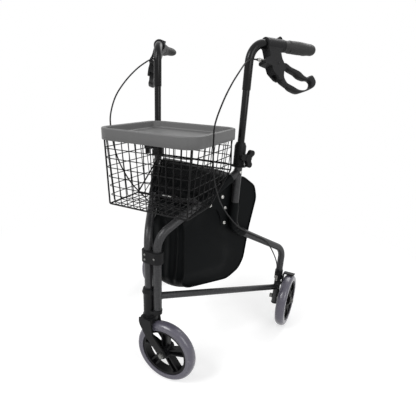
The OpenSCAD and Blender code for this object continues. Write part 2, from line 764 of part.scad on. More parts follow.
// A smooth curve through route points, with a number of steps between each two
function spline_point(p, i, t) = let (n = len(p) - 1, a = p[max(i - 1, 0)], b = p[i], c = p[i + 1], d = p[min(i + 2, n)])
    0.5 * (2 * b + (c - a) * t + (2 * a - 5 * b + 4 * c - d) * t * t + (3 * b - a - 3 * c + d) * t * t * t);
function spline(p, steps) = [for (i = [0 : len(p) - 2]) for (k = [0 : steps - 1]) spline_point(p, i, k / steps), p[len(p) - 1]];

// Brake at the wheel: bracket on the leg, rocking arm with its shoe, and return spring
arm_x = 16;
arm_t = 3.6;
arm_pivot_y = 4;
arm_pivot_z = wheel_r - 8;
arm_pin_d = 6;
pull_y = -18;
lug_top = arm_pivot_z + 24;
lug_h = 9;
tail_top = arm_pivot_z - 10;
tail_h = 7;
lug_r = 7;
collar_wall = 2.2;
// Route of a brake cable in its side frame: outward, along the frame, and height.
// It leaves the adjuster in line with it and ends in the bracket's lug over the rear wheel.
cable_start = [-barrel_z * sin(brake_tilt), brake_s + barrel_front, handle_height + barrel_z * cos(brake_tilt)];
cable_stop = [-pull_y * sin(splay), rear_axle_s + pull_y * cos(splay), wheel_r + lug_top - 2];
cable_route = concat(
    [for (step = [[0, 4, 0], [0, -8, 0], [1.5, -21, -1], [13, -48, -10], [35, -84, -31], [59, -128, -64], [78, -165, -102]])
        cable_start + step],
    [[100, 91, 714], [100, 89, 678], [96, 93, 638], [88, 102, 598], [76, 120, 558], [60, 147, 517], [40, 182, 479],
        [26, 218, 443], [20, 252, 411], [16, 287, 388], [15, 330, 363], [15, 372, 339], [13, 404, 304]],
    [for (step = [[1.5, -20, 66], [0.5, -5, 33], [0, 0, 0]]) cable_stop + step]);
module brake_cable() {
    color(vinyl_black) swept_tube(spline(cable_route, 4), [[1, 0.01, 0.02]], cable_d / 2, 8);
}
module on_leg_here() {
    rotate([0, 0, -splay]) rotate([-lean, 0, 0]) rotate([0, 0, splay]) children();
}
module brake_bracket() {
    color(plastic_black) at_rear_axle() difference() {
        union() {
            on_leg_here() translate([0, 0, arm_pivot_z - 8]) cylinder(d = tube_d + 2 * collar_wall, h = lug_top - arm_pivot_z + 8);
            translate([0, arm_pivot_y, arm_pivot_z]) rotate([0, 90, 0]) cylinder(d = arm_pin_d, h = arm_x + arm_t + 2);
            translate([-lug_r, pull_y, lug_top - lug_h]) cube([2 * lug_r, -pull_y, lug_h]);
            translate([0, pull_y, lug_top - lug_h]) cylinder(r = lug_r, h = lug_h);
        }
        on_leg_here() cylinder(d = tube_d, h = 3 * lug_top);
        translate([0, pull_y, lug_top - 4]) cylinder(d = cable_d + 0.4, h = 10);
        translate([0, pull_y, 0]) cylinder(d = 2.6, h = 2 * lug_top);
    }
}
shoe_from = 4;
shoe_to = 20;
module brake_arm() {
    shoe_r = wheel_r + shoe_gap;
    web_r = shoe_r + shoe_t / 2;
    color(plastic_black) at_rear_axle() difference() {
        union() {
            translate([arm_x, 0, 0]) rotate([90, 0, 90]) linear_extrude(arm_t) polygon([
                [pull_y - 5, tail_top - tail_h], [-4, tail_top - tail_h], [12, arm_pivot_z - 10], [16, arm_pivot_z],
                [web_r * sin(shoe_to - 1), web_r * cos(shoe_to - 1)],
                [web_r * sin(shoe_from + 1), web_r * cos(shoe_from + 1)],
                [-3, arm_pivot_z + 6], [-6, tail_top], [pull_y - 5, tail_top]]);
            rotate([0, 90, 0]) rotate([0, 0, 180 - shoe_to]) rotate_extrude(angle = shoe_to - shoe_from, $fn = 96)
                translate([shoe_r, arm_x + 1]) square([shoe_t, wheel_offset + tyre_w / 2 - arm_x - 1]);
            translate([-4, pull_y - 4.5, tail_top - tail_h + 0.5]) cube([arm_x + 4 + arm_t / 2, 9, tail_h - 0.5]);
            translate([0, pull_y, tail_top - 1]) cylinder(d = 1.6, h = lug_top - lug_h - tail_top - 2);
        }
        translate([0, arm_pivot_y, arm_pivot_z]) rotate([0, 90, 0])
            cylinder(d = arm_pin_d + 2 * pin_clearance, h = 6 * arm_x, center = true);
    }
}
// The spring's centre line is a helix; its least gap to itself lies between neighbouring curls
spring_low = tail_top + spring_wire_d / 2 + seat_gap;
spring_high = lug_top - lug_h - spring_wire_d / 2 - seat_gap;
spring_pitch = (spring_high - spring_low) / spring_curls;
ring_steps = 8 * spring_curls;
function helix_point(i) = [spring_d / 2 * cos(45 * i), pull_y + spring_d / 2 * sin(45 * i), spring_low + (spring_high - spring_low) * i / ring_steps];
spring_points = [for (i = [0 : ring_steps]) helix_point(i)];
spring_refs = [for (i = [0 : ring_steps]) [cos(45 * i), sin(45 * i), 0]];
spring_gap = min([for (i = [0 : ring_steps - 6]) for (k = [i + 6 : ring_steps]) norm(spring_points[i] - spring_points[k])]) - spring_wire_d;
module brake_spring() {
    echo(least_gap_between_spring_curls = spring_gap);
    color(steel_bright) at_rear_axle() swept_tube(spring_points, spring_refs, spring_wire_d / 2, 6);
}

// Folding brace: two bars joined at the middle, on a spacer boss of the welded tab at each end.
// The right end turns on its tab's pin; at the left the bar only lies on its boss.
tab_t = 3.5;
tab_y = 117;
brace_pin_d = 6;
brace_boss_d = 10;
brace_step = brace_t + seat_gap;
rivet_cap_d = 11;
rivet_cap_h = 1.5;
module along_y(from, to, d) {
    translate([0, from, 0]) rotate([-90, 0, 0]) cylinder(d = d, h = to - from);
}
// Where a bar's outer end lies: the right one turns on its pin, the left one stops short of its tube's swing
function brace_end(stack) = stack == 0 ? brace_half : brace_left;
function brace_end_h(stack) = stack == 0 ? brace_h : brace_tip_h;
module brace_tab(stack) {
    boss_y = brace_y - stack * brace_step + seat_gap;
    pin_y = boss_y - 2 * seat_gap - brace_t - rivet_cap_h;
    tab_h = brace_end_h(stack) + 2;
    color(metal_grey) difference() {
        at_column() translate([brace_end(stack), 0, brace_z]) {
            translate([0, tab_y, 0]) rotate([-90, 0, 0]) linear_extrude(tab_t) {
                circle(d = tab_h);
                translate([0, -tab_h / 2]) square([half_gap + tab_y * tan(splay) - brace_end(stack), tab_h]);
            }
            along_y(boss_y, tab_y + past, brace_boss_d);
            if (stack == 0) along_y(pin_y, boss_y + past, brace_pin_d);
            if (stack == 0) along_y(pin_y, pin_y + rivet_cap_h, rivet_cap_d);
        }
        left_side() in_frame_plane() bent_tube(front_path, [front_bend_r], tube_d + 2 * weld_gap, 0);
    }
}
module brace_bar(stack) {
    back = brace_y - stack * brace_step;
    cap_y = brace_y - brace_step - brace_t - seat_gap - rivet_cap_h;
    end = brace_end(stack);
    color(plastic_black) at_column() difference() {
        union() {
            translate([0, back, brace_z]) rotate([90, 0, 0]) linear_extrude(brace_t) hull() {
                circle(d = brace_h);
                translate([end, 0]) circle(d = brace_end_h(stack));
            }
            // the right bar carries the middle rivet, the left bar the cap at its outer end
            translate([0, 0, brace_z]) if (stack == 0) along_y(cap_y, back, brace_pin_d);
            translate([0, 0, brace_z]) if (stack == 0) along_y(cap_y, cap_y + rivet_cap_h, rivet_cap_d);
            if (stack == 1) translate([end, 0, brace_z])
                along_y(back - brace_t - rivet_cap_h, back - brace_t, brace_tip_h - 1);
        }
        if (stack == 0) translate([end, 0, brace_z]) along_y(0, 2 * brace_y, brace_pin_d + 2 * pin_clearance);
        if (stack == 1) translate([0, 0, brace_z]) along_y(0, 2 * brace_y, brace_pin_d + 2 * pin_clearance);
    }
}

// Bag between the frames, and the strap sleeves that hang it on the legs
bag_inset = tube_r + bag_gap;
function bag_half(y) = half_gap + y * tan(splay) - bag_inset / cos(splay);
// The bag passes under and behind the folding brace
bag_notch_y = tab_y + tab_t + 4;
bag_drop = brace_h / 2 + 4;
module bag_outline() {
    offset(r = 12, $fn = 32) offset(delta = -12) polygon([
        [bag_notch_y, brace_z + 12], [204, bag_top_z - 14], [222, bag_top_z], [262, bag_top_z],
        [bag_back_y - 10, bag_top_z - 36], [bag_back_y, bag_top_z - 84], [bag_back_y - 18, bag_bottom_z + 160],
        [bag_back_y - 30, bag_bottom_z + 54], [bag_back_y - 46, bag_bottom_z + 22], [226, bag_bottom_z],
        [96, bag_bottom_z + 14], [bag_front_y + 2, bag_bottom_z + 34], [bag_front_y, brace_z - 58],
        [bag_front_y + 12, brace_z - 28], [bag_notch_y - 18, brace_z - bag_drop - 3], [bag_notch_y, brace_z - bag_drop]]);
}
module bag() {
    color(vinyl_black) at_column() intersection() {
        rotate([90, 0, 90]) linear_extrude(2 * bag_half(bag_back_y), center = true) bag_outline();
        linear_extrude(bag_top_z + past) polygon([
            [-bag_half(bag_front_y), bag_front_y], [bag_half(bag_front_y), bag_front_y],
            [bag_half(bag_back_y), bag_back_y], [-bag_half(bag_back_y), bag_back_y]]);
    }
}
strap_top_z = 482;
strap_run = 52;
tab_l = 44;
leg_heading = heading(knee, heel);
knee_trim = trim(leg_path, [leg_bend_r, leg_bend_r], 1);
module bag_strap() {
    sleeve = [upright_at(strap_top_z), knee, knee + strap_run * unit(leg_heading)];
    inner = tube_d + 2 * seat_gap;
    tab_low = knee_z + knee_trim + 2;
    color(vinyl_black) {
        in_frame_plane() bent_tube(sleeve, [leg_bend_r], inner + 2 * strap_t, inner);
        translate([-bag_inset + seat_gap, upright_at(tab_low)[0] - tab_l, tab_low])
            cube([strap_t, tab_l + 1, strap_top_z - tab_low - 1]);
    }
}

// Basket: edge wires round a mesh, and the tray on its rim
module wire(a, b, d) {
    hull() {
        translate(a) cube(d, center = true);
        translate(b) cube(d, center = true);
    }
}
module rod(a, b, d) {
    v = b - a;
    translate(a) rotate([0, acos(v[2] / norm(v)), atan2(v[1], v[0])]) cylinder(d = d, h = norm(v), $fn = 16);
}
weld_d = edge_wire_d + 1.6;
rim_z = tray_top_z - tray_well - tray_wall - weld_d / 2 - seat_gap;
rim_half = tray_w / 2 - tray_wall - edge_wire_d / 2 - 1;
rim_front_y = tray_front_y + tray_wall + edge_wire_d / 2 + 1;
rim_back_y = tray_back_y - tray_wall - edge_wire_d / 2 - 1;
rim_corner_r = tray_corner_r - tray_wall - edge_wire_d / 2 - 1;
// The rear wire lies on the clamp ledges, just in front of the clamps
rear_wire_z = upright_top_z - clamp_below + ledge_h + edge_wire_d / 2 + seat_gap + 1;
clamp_y = upright_at(rear_wire_z)[0] * cos(splay);
rear_wire_y = clamp_y - clamp_d / 2 - edge_wire_d / 2 - 0.8;
rear_wire_half = half_gap + upright_at(rear_wire_z)[0] * sin(splay) + 8;
slope_top_z = rear_wire_z - 14;
basket_front_y = rim_front_y + 9;
function part_up(z) = (z - basket_floor_z) / (rim_z - basket_floor_z);
function half_at(z) = rim_half - (1 - part_up(z)) * basket_taper;
function front_at(z) = rim_front_y + (1 - part_up(z)) * (basket_front_y - rim_front_y);
// The back panel leans to meet the rear wire, and the panel under it slopes to the floor
wire_back_y = rear_wire_y - edge_wire_d * 0.8;
function upper_back(z) = rim_back_y + (rim_z - z) / (rim_z - rear_wire_z) * (wire_back_y - rim_back_y);
function slope_back(z) = basket_floor_y
    + (z - basket_floor_z) / (slope_top_z - basket_floor_z) * (upper_back(slope_top_z) - basket_floor_y);
function back_at(z) = z >= slope_top_z ? upper_back(z) : slope_back(z);
// How far the corner wires stand in from the square corner
function corner_in(z) = part_up(z) * rim_corner_r * (1 - cos(45));
module rounded_rect(w, d, r) {
    square([w - 2 * r, d], center = true);
    square([w, d - 2 * r], center = true);
    for (x = [-1, 1]) for (y = [-1, 1]) translate([x * (w / 2 - r), y * (d / 2 - r)]) circle(r = r);
}
module rim_ring() {
    mid = (rim_front_y + rim_back_y) / 2;
    depth = rim_back_y - rim_front_y;
    r = rim_corner_r;
    translate([0, mid, rim_z]) {
        for (side = [-1, 1]) {
            translate([0, side * depth / 2, 0]) rotate([0, 90, 0]) cylinder(d = edge_wire_d, h = 2 * (rim_half - r), center = true);
            translate([side * rim_half, 0, 0]) rotate([90, 0, 0]) cylinder(d = edge_wire_d, h = depth - 2 * r, center = true);
        }
        for (x = [-1, 1]) for (y = [-1, 1]) translate([x * (rim_half - r), y * (depth / 2 - r), 0])
            rotate([0, 0, x > 0 ? (y > 0 ? 0 : 270) : (y > 0 ? 90 : 180)])
                rotate_extrude(angle = 90) translate([r, 0]) circle(d = edge_wire_d);
    }
}
module basket_frame() {
    z0 = basket_floor_z;
    z1 = slope_top_z;
    d = edge_wire_d;
    front_low = [half_at(z0), front_at(z0), z0];
    floor_back = [half_at(z0), basket_floor_y, z0];
    slope_top = [half_at(z1), back_at(z1), z1];
    front_top = [rim_half - corner_in(rim_z), rim_front_y + corner_in(rim_z), rim_z];
    back_top = [rim_half - corner_in(rim_z), rim_back_y - corner_in(rim_z), rim_z];
    color(plastic_black) at_column() {
        rim_ring();
        for (p = [front_low, floor_back, slope_top]) rod([-p[0], p[1], p[2]], p, d);
        rod([-rear_wire_half, rear_wire_y, rear_wire_z], [rear_wire_half, rear_wire_y, rear_wire_z], d);
        both_sides_of_middle() {
            rod(front_low, front_top, d);
            rod(front_low, floor_back, d);
            rod(floor_back, slope_top, d);
            rod(slope_top, back_top, d);
            for (p = [front_low, floor_back, slope_top, front_top, back_top]) translate(p) sphere(d = weld_d, $fn = 24);
        }
    }
}
row_z = [for (i = [1 : mesh_rows - 1]) basket_floor_z + (rim_z - basket_floor_z) * i / mesh_rows];
across = [for (i = [1 : mesh_across - 1]) 2 * i / mesh_across - 1];
// Each flat panel of mesh is one piece, whose wires end inside the edge wires
module basket_mesh() {
    d = mesh_wire_d;
    layer = d * 0.7;
    clear = d + 2;
    z0 = basket_floor_z;
    z1 = slope_top_z;
    top = rim_half - 8;
    color(plastic_black) at_column() {
        for (z = row_z) {
            side_x = half_at(z) - corner_in(z) - clear;
            wire([-side_x, front_at(z) + layer, z], [side_x, front_at(z) + layer, z], d);
            if (abs(z - z1) > 2 * d) wire([-side_x, back_at(z) - layer, z], [side_x, back_at(z) - layer, z], d);
            for (side = [-1, 1]) wire([side * (half_at(z) - layer), front_at(z) + corner_in(z) + clear, z],
                [side * (half_at(z) - layer), back_at(z) - (z > z1 ? corner_in(z) : 0) - clear, z], d);
        }
        for (u = across) {
            wire([u * half_at(z0), front_at(z0), z0 + 1], [u * top, rim_front_y, rim_z], d);
            wire([u * half_at(z0), front_at(z0) + 3, z0 - 2.2], [u * half_at(z0), basket_floor_y - 3, z0 - 2.2], d);
            wire([u * half_at(z0), basket_floor_y + 1.6, z0 + 1.6], [u * half_at(z1), back_at(z1) - 1.6, z1 - 1.6], d);
            wire([u * half_at(z1), back_at(z1), z1 + 1.6], [u * top, rim_back_y, rim_z], d);
        }
        for (i = [1 : mesh_along - 1]) {
            y1 = rim_front_y + (rim_back_y - rim_front_y) * i / mesh_along;
            y0 = max(y1, front_at(z0) + 8);
            low_z = y0 <= basket_floor_y ? z0 : z0 + (y0 - basket_floor_y) / (back_at(z1) - basket_floor_y) * (z1 - z0);
            for (side = [-1, 1]) wire([side * half_at(low_z), y0, low_z], [side * rim_half, y1, rim_z], d);
            if (y0 < basket_floor_y - 8) wire([-half_at(z0) + 3, y0, z0 - 2.2 + layer], [half_at(z0) - 3, y0, z0 - 2.2 + layer], d);
        }
    }
}
module tray() {
    mid = (tray_back_y + tray_front_y) / 2;
    under = tray_top_z - tray_well - tray_wall;
    inner_r = tray_corner_r - tray_rim_w;
    color(tray_grey) at_column() translate([0, mid, 0]) difference() {
        translate([0, 0, tray_top_z - tray_h]) linear_extrude(tray_h) rounded_rect(tray_w, tray_depth, tray_corner_r);
        translate([0, 0, tray_top_z - tray_well]) linear_extrude(tray_well + past)
            rounded_rect(tray_w - 2 * tray_rim_w, tray_depth - 2 * tray_rim_w, inner_r);
        translate([0, 0, tray_top_z - tray_h - past]) linear_extrude(under - tray_top_z + tray_h + past)
            rounded_rect(tray_w - 2 * tray_wall, tray_depth - 2 * tray_wall, tray_corner_r - tray_wall);
    }
}

module front_tube_left() { left_side() front_tube(front_path); }
module front_tube_right() { right_side() front_tube(right_front_path); }
module leg_tube_left() { left_side() leg_tube(); }
module leg_tube_right() { right_side() leg_tube(); }
module cross_tube_left() { left_side() cross_tube(); }
module cross_tube_right() { right_side() cross_tube(); }
module tube_plugs_left() {
    left_side() {
        translate([0, 0, front_bottom_z]) tube_plug(hinge_pin_d + 2 * pin_clearance);
        leg_plug();
    }
}
module tube_plugs_right() { right_side() leg_plug(); }
module front_rim() { front_wheel_place() wheel_rim(); }
module front_tyre() { front_wheel_place() tyre(); }
module rear_axle_left() { left_side() rear_axle(); }
module rear_axle_right() { right_side() rear_axle(); }
module rear_rim_left() { left_side() rear_wheel_place() wheel_rim(); }
module rear_rim_right() { right_side() rear_wheel_place() wheel_rim(); }
module rear_tyre_left() { left_side() rear_wheel_place() tyre(); }
module rear_tyre_right() { right_side() rear_wheel_place() tyre(); }
module height_clamp_left() { left_side() height_clamp(); }
module height_clamp_right() { right_side() height_clamp(); }
module star_knob_left() { left_side() star_knob(); }
module star_knob_right() { right_side() star_knob(); }
module stem_left() { left_side() stem(); }
module stem_right() { right_side() stem(); }
module handle_tube_left() { left_side() handle_tube(); }
module handle_tube_right() { right_side() handle_tube(); }
module grip_left() { left_side() grip(); }
module grip_right() { right_side() grip(); }
module brake_housing_left() { left_side() brake_housing(); }
module brake_housing_right() { right_side() brake_housing(); }
module brake_lever_left() { left_side() brake_lever(); }
module brake_lever_right() { right_side() brake_lever(); }
module lever_pin_left() { left_side() lever_pin(); }
module lever_pin_right() { right_side() lever_pin(); }
module cable_adjuster_left() { left_side() cable_adjuster(); }
module cable_adjuster_right() { right_side() cable_adjuster(); }
module brake_cable_left() { left_side() brake_cable(); }
module brake_cable_right() { right_side() brake_cable(); }
module brake_bracket_left() { left_side() brake_bracket(); }
module brake_bracket_right() { right_side() brake_bracket(); }
module brake_arm_left() { left_side() brake_arm(); }
module brake_arm_right() { right_side() brake_arm(); }
module brake_spring_left() { left_side() brake_spring(); }
module brake_spring_right() { right_side() brake_spring(); }
module brace_tab_left() { brace_tab(1); }
module brace_tab_right() { mirror([1, 0, 0]) brace_tab(0); }
module brace_bar_left() { brace_bar(1); }
module brace_bar_right() { mirror([1, 0, 0]) brace_bar(0); }
module bag_strap_left() { left_side() bag_strap(); }
module bag_strap_right() { right_side() bag_strap(); }

front_tube_left();
front_tube_right();
leg_tube_left();
leg_tube_right();
cross_tube_left();
cross_tube_right();
tube_plugs_left();
tube_plugs_right();
hinge_bracket();
hinge_rivets();
hinge_pin();
caster_housing();
caster_bearings();
caster_fork();
caster_bolt();
front_axle();
front_rim();
front_tyre();
rear_axle_left();
rear_axle_right();
rear_rim_left();
rear_rim_right();
rear_tyre_left();
rear_tyre_right();
height_clamp_left();
height_clamp_right();
star_knob_left();
star_knob_right();
stem_left();
stem_right();
handle_tube_left();
handle_tube_right();
grip_left();
grip_right();
brake_housing_left();
brake_housing_right();
brake_lever_left();
brake_lever_right();
lever_pin_left();
lever_pin_right();
cable_adjuster_left();
cable_adjuster_right();
brake_cable_left();
brake_cable_right();
brake_bracket_left();
brake_bracket_right();
brake_arm_left();
brake_arm_right();
brake_spring_left();
brake_spring_right();
brace_tab_left();
brace_tab_right();
brace_bar_left();
brace_bar_right();
bag();
bag_strap_left();
bag_strap_right();
basket_frame();
basket_mesh();
tray();
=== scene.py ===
"""Looks of a folding walker on three wheels: frame tubes, basket, tray, bag, brakes and wheels."""

import json

import bmesh
import bpy
import numpy as np
from mathutils import Matrix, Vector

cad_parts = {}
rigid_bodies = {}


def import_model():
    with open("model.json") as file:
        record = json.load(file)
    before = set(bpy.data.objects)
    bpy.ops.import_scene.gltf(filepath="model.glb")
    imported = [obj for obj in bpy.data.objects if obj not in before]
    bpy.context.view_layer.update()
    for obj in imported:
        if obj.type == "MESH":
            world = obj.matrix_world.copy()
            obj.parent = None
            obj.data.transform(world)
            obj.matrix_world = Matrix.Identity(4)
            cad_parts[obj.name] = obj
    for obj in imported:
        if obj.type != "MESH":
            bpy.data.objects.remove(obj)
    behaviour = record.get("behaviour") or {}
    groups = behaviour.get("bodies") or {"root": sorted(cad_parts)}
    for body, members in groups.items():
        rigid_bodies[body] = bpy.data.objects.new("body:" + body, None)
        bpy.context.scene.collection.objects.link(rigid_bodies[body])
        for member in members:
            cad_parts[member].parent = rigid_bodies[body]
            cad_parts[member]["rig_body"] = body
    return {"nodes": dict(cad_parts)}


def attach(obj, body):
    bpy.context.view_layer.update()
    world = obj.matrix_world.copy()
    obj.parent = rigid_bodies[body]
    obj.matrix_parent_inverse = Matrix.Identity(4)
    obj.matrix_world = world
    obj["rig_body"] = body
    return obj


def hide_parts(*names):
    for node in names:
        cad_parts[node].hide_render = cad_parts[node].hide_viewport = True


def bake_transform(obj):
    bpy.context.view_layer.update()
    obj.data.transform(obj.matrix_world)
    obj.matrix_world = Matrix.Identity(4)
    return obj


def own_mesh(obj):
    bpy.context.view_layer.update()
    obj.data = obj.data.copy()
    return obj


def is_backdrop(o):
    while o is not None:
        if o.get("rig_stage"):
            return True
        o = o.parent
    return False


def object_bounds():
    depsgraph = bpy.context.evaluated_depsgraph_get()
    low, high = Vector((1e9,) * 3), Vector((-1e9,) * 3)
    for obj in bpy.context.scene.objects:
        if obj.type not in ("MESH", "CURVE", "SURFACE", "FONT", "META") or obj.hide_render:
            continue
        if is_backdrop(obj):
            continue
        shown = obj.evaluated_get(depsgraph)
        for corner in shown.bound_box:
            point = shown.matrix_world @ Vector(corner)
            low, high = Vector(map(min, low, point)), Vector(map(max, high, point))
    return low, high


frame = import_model()
nodes = frame["nodes"]
cad_box = [list(corner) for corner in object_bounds()]

# Sizes in millimetres, the same as in the part's source
COLUMN_Y = -233.43929
HALF_GAP = 14.0
SPLAY = np.radians(28.0)
LEAN = np.radians(2.5)
BRAKE_TILT = np.radians(18.0)
CASTER_TURN = 0.0
TUBE_R = 11.1
CROSS_R = 9.5
STEM_R = 9.5
WHEEL_R = 90.0
WHEEL_OUT = 38.0
TRAIL = 55.0
FOOT_Z = {"left": 216.0, "right": 242.0}
FRONT_BEND_Z = 427.0
CROSS_FRONT_Z, CROSS_REAR_Z = 258.0, 129.0
UPRIGHT_S = 253.0
JUNCTION_Z = 569.0
UPRIGHT_TOP_Z = 635.0
HANDLE_Z = 899.0
HANDLE_REACH = 228.0
STEM_LOW_Z = 517.0
STEP_Z = 785.0
TRAY_Z = 691.0
TRAY_HALF, TRAY_FRONT, TRAY_BACK = 135.0, -38.0, 212.0
TRAY_CORNER = 40.0
RIM_Z = 665.9
RIM_HALF, RIM_FRONT, RIM_BACK = 129.0, -32.0, 206.0
FLOOR_Z, FLOOR_BACK = 502.0, 92.0
REAR_WIRE_Z, REAR_WIRE_Y, REAR_WIRE_HALF = 591.8, 204.96, 141.2
SLOPE_TOP_Z = 577.8
HEEL = (478.0, 276.0)
SIDES = {"left": 1, "right": -1}


def upright(z):
    """Distance of the upright's axis along its frame at height z: a line that leans by LEAN."""
    return UPRIGHT_S + (np.asarray(z, float) - JUNCTION_Z) * np.tan(LEAN)


def leg(z):
    """Distance of the rear leg's axis along its frame at height z: a line that leans by LEAN."""
    return HEEL[0] - (HEEL[1] - np.asarray(z, float)) * np.tan(LEAN)


def on_upright(z):
    """Point of the upright's axis at height z, in its frame's plane."""
    return (float(upright(z)), z)


BRAKE_S = float(upright(HANDLE_Z))
AXLE_S = float(leg(WHEEL_R))
KNEE = on_upright(403.0)


# Places: each turns a piece's own millimetres into the shared frame's millimetres
def stack(x, y, z):
    """Broadcasts three coordinates and stacks them as points."""
    return np.stack(np.broadcast_arrays(*(np.asarray(v, float) for v in (x, y, z))), -1)


def in_side(side, x, s, z):
    """Side frame: x outward from its plane, s along it; the plane is turned by SPLAY about its column."""
    x, s = np.asarray(x, float), np.asarray(s, float)
    across = side * (HALF_GAP + x * np.cos(SPLAY) + s * np.sin(SPLAY))
    return stack(across, COLUMN_Y - x * np.sin(SPLAY) + s * np.cos(SPLAY), z)


def in_brake(side, x, y, z):
    """Handle brake: y along the handle from the stem's axis, x and z turned by BRAKE_TILT about it."""
    x, z = np.asarray(x, float), np.asarray(z, float)
    turned = x * np.cos(BRAKE_TILT) - z * np.sin(BRAKE_TILT)
    height = HANDLE_Z + x * np.sin(BRAKE_TILT) + z * np.cos(BRAKE_TILT)
    return in_side(side, turned, BRAKE_S + np.asarray(y, float), height)


def in_axle(side, x, y, z):
    """Rear wheel: x outward along its axle, y back and z up from the axle."""
    foot = in_side(side, 0, AXLE_S, WHEEL_R)
    x, y, z = (np.asarray(v, float) for v in (x, y, z))
    return stack(foot[0] + side * x, foot[1] + y, foot[2] + z)


def in_caster(x, y, z):
    """Front wheel: x along the fork's trail and y along its axle, turned by CASTER_TURN about the swivel."""
    x, y = np.asarray(x, float), np.asarray(y, float)
    c, s = np.cos(CASTER_TURN), np.sin(CASTER_TURN)
    return stack(-HALF_GAP + x * c - y * s, COLUMN_Y + x * s + y * c, z)


def in_column(x, y, z):
    """Middle plane: y back from the columns."""
    return stack(x, COLUMN_Y + np.asarray(y, float), z)


# Shapes
def smooth(lo, hi, t):
    """Smooth step: 3u^2 - 2u^3 with u the part of the way from lo to hi."""
    u = np.clip((np.asarray(t, float) - lo) / (hi - lo), 0, 1)
    return u * u * (3 - 2 * u)


def unit(v):
    """Vectors divided by their lengths."""
    return v / np.maximum(np.linalg.norm(v, axis=-1, keepdims=True), 1e-9)


def bent(corners, radii, arc=14):
    """Plane path through corners, each inner one replaced by an arc of its radius that touches both legs."""
    c = np.asarray(corners, float)
    rows = [c[:1]]
    for p, q, r, radius in zip(c[:-2], c[1:-1], c[2:], radii):
        a, b = unit(p - q), unit(r - q)
        half = np.arccos(np.clip(a @ b, -1, 1)) / 2
        middle = q + unit(a + b) * radius / np.sin(half)
        start, stop = q + a * radius / np.tan(half) - middle, q + b * radius / np.tan(half) - middle
        span = np.pi - 2 * half
        t = np.linspace(0, 1, arc)[:, None]
        rows.append(middle + (np.sin((1 - t) * span) * start + np.sin(t * span) * stop) / np.sin(span))
    return np.concatenate(rows + [c[-1:]])


def spline(points, steps, closed=False):
    """Smooth curve through points: each stretch is the cubic whose slope at a point is half its
    neighbours' step."""
    p = np.asarray(points, float)
    if closed:
        a, b, c, d = np.roll(p, 1, 0), p, np.roll(p, -1, 0), np.roll(p, -2, 0)
    else:
        b, c = p[:-1], p[1:]
        a, d = np.concatenate([p[:1], p[:-2]]), np.concatenate([p[2:], p[-1:]])
    t = np.linspace(0, 1, steps, endpoint=False)[None, :, None]
    a, b, c, d = (v[:, None] for v in (a, b, c, d))
    curve = 0.5 * (2 * b + (c - a) * t + (2 * a - 5 * b + 4 * c - d) * t**2
                   + (3 * b - a - 3 * c + d) * t**3)
    curve = curve.reshape(-1, p.shape[1])
    return curve if closed else np.concatenate([curve, p[-1:]])


def sweep(path, radius, ref, sides=16, closed=False, wide=1.0):
    """Round section carried along a path: path + r (wide cos a n + sin a b), b square to the path and
    ref, n to both."""
    path = np.asarray(path, float)
    ahead = np.roll(path, -1, 0) - np.roll(path, 1, 0) if closed else np.gradient(path, axis=0)
    ahead = unit(ahead)
    b = unit(np.cross(ahead, np.broadcast_to(np.asarray(ref, float), path.shape)))
    n = np.cross(b, ahead)
    a = np.linspace(0, 2 * np.pi, sides, endpoint=False)[None, :, None]
    r = np.asarray(radius, float)
    r = r[:, None, None] if r.ndim == 1 else r[..., None] if r.ndim == 2 else r
    return path[:, None] + r * (wide * np.cos(a) * n[:, None] + np.sin(a) * b[:, None])


def rounded_ends(path, radius, edge, steps=4):
    """Adds rows at both ends of a path, where the radius falls by a quarter circle of size edge."""
    path = np.asarray(path, float)
    radius = np.broadcast_to(np.asarray(radius, float), (len(path),))
    a = np.linspace(0, np.pi / 2, steps)
    first, last = unit(path[0] - path[1]), unit(path[-1] - path[-2])
    head = path[0] - first * edge + first * (edge * np.sin(a))[::-1, None]
    tail = path[-1] - last * edge + last * (edge * np.sin(a))[:, None]
    fall = edge * (1 - np.cos(a))
    rows = np.concatenate([head, path[1:-1], tail])
    return rows, np.concatenate([radius[0] - fall[::-1], radius[1:-1], radius[-1] - fall])


def rounded_box(half_x, y0, y1, r, arc=8):
    """Closed rounded rectangle: four quarter circles of radius r round the corners, in (x, y)."""
    a = np.linspace(0, np.pi / 2, arc)
    turns = np.concatenate([a, a + np.pi / 2, a + np.pi, a + 1.5 * np.pi])
    cx = np.repeat([half_x - r, r - half_x, r - half_x, half_x - r], arc)
    cy = np.repeat([y1 - r, y1 - r, y0 + r, y0 + r], arc)
    return np.stack([cx + r * np.cos(turns), cy + r * np.sin(turns)], -1)


def even_loop(corners, count, soften):
    """Closed polygon set out at even steps, softened by a bell-shaped mean soften millimetres wide."""
    c = np.asarray(corners, float)
    c = np.concatenate([c, c[:1]])
    run = np.concatenate([[0], np.cumsum(np.linalg.norm(np.diff(c, axis=0), axis=1))])
    at = np.linspace(0, run[-1], count, endpoint=False)
    loop = np.stack([np.interp(at, run, c[:, k]) for k in (0, 1)], -1)
    wave = np.fft.rfftfreq(count, run[-1] / count)
    keep = np.exp(-2 * (np.pi * wave * soften) ** 2)[:, None]
    return np.fft.irfft(np.fft.rfft(loop, axis=0) * keep, count, axis=0)


def loop_normals(loop):
    """Outward normals of a closed loop: its steps turned a right angle away from its middle."""
    step = unit(np.roll(loop, -1, 0) - np.roll(loop, 1, 0))
    n = np.stack([step[:, 1], -step[:, 0]], -1)
    area = np.sum(loop[:, 0] * np.roll(loop[:, 1], -1) - np.roll(loop[:, 0], -1) * loop[:, 1])
    return n * np.sign(area)


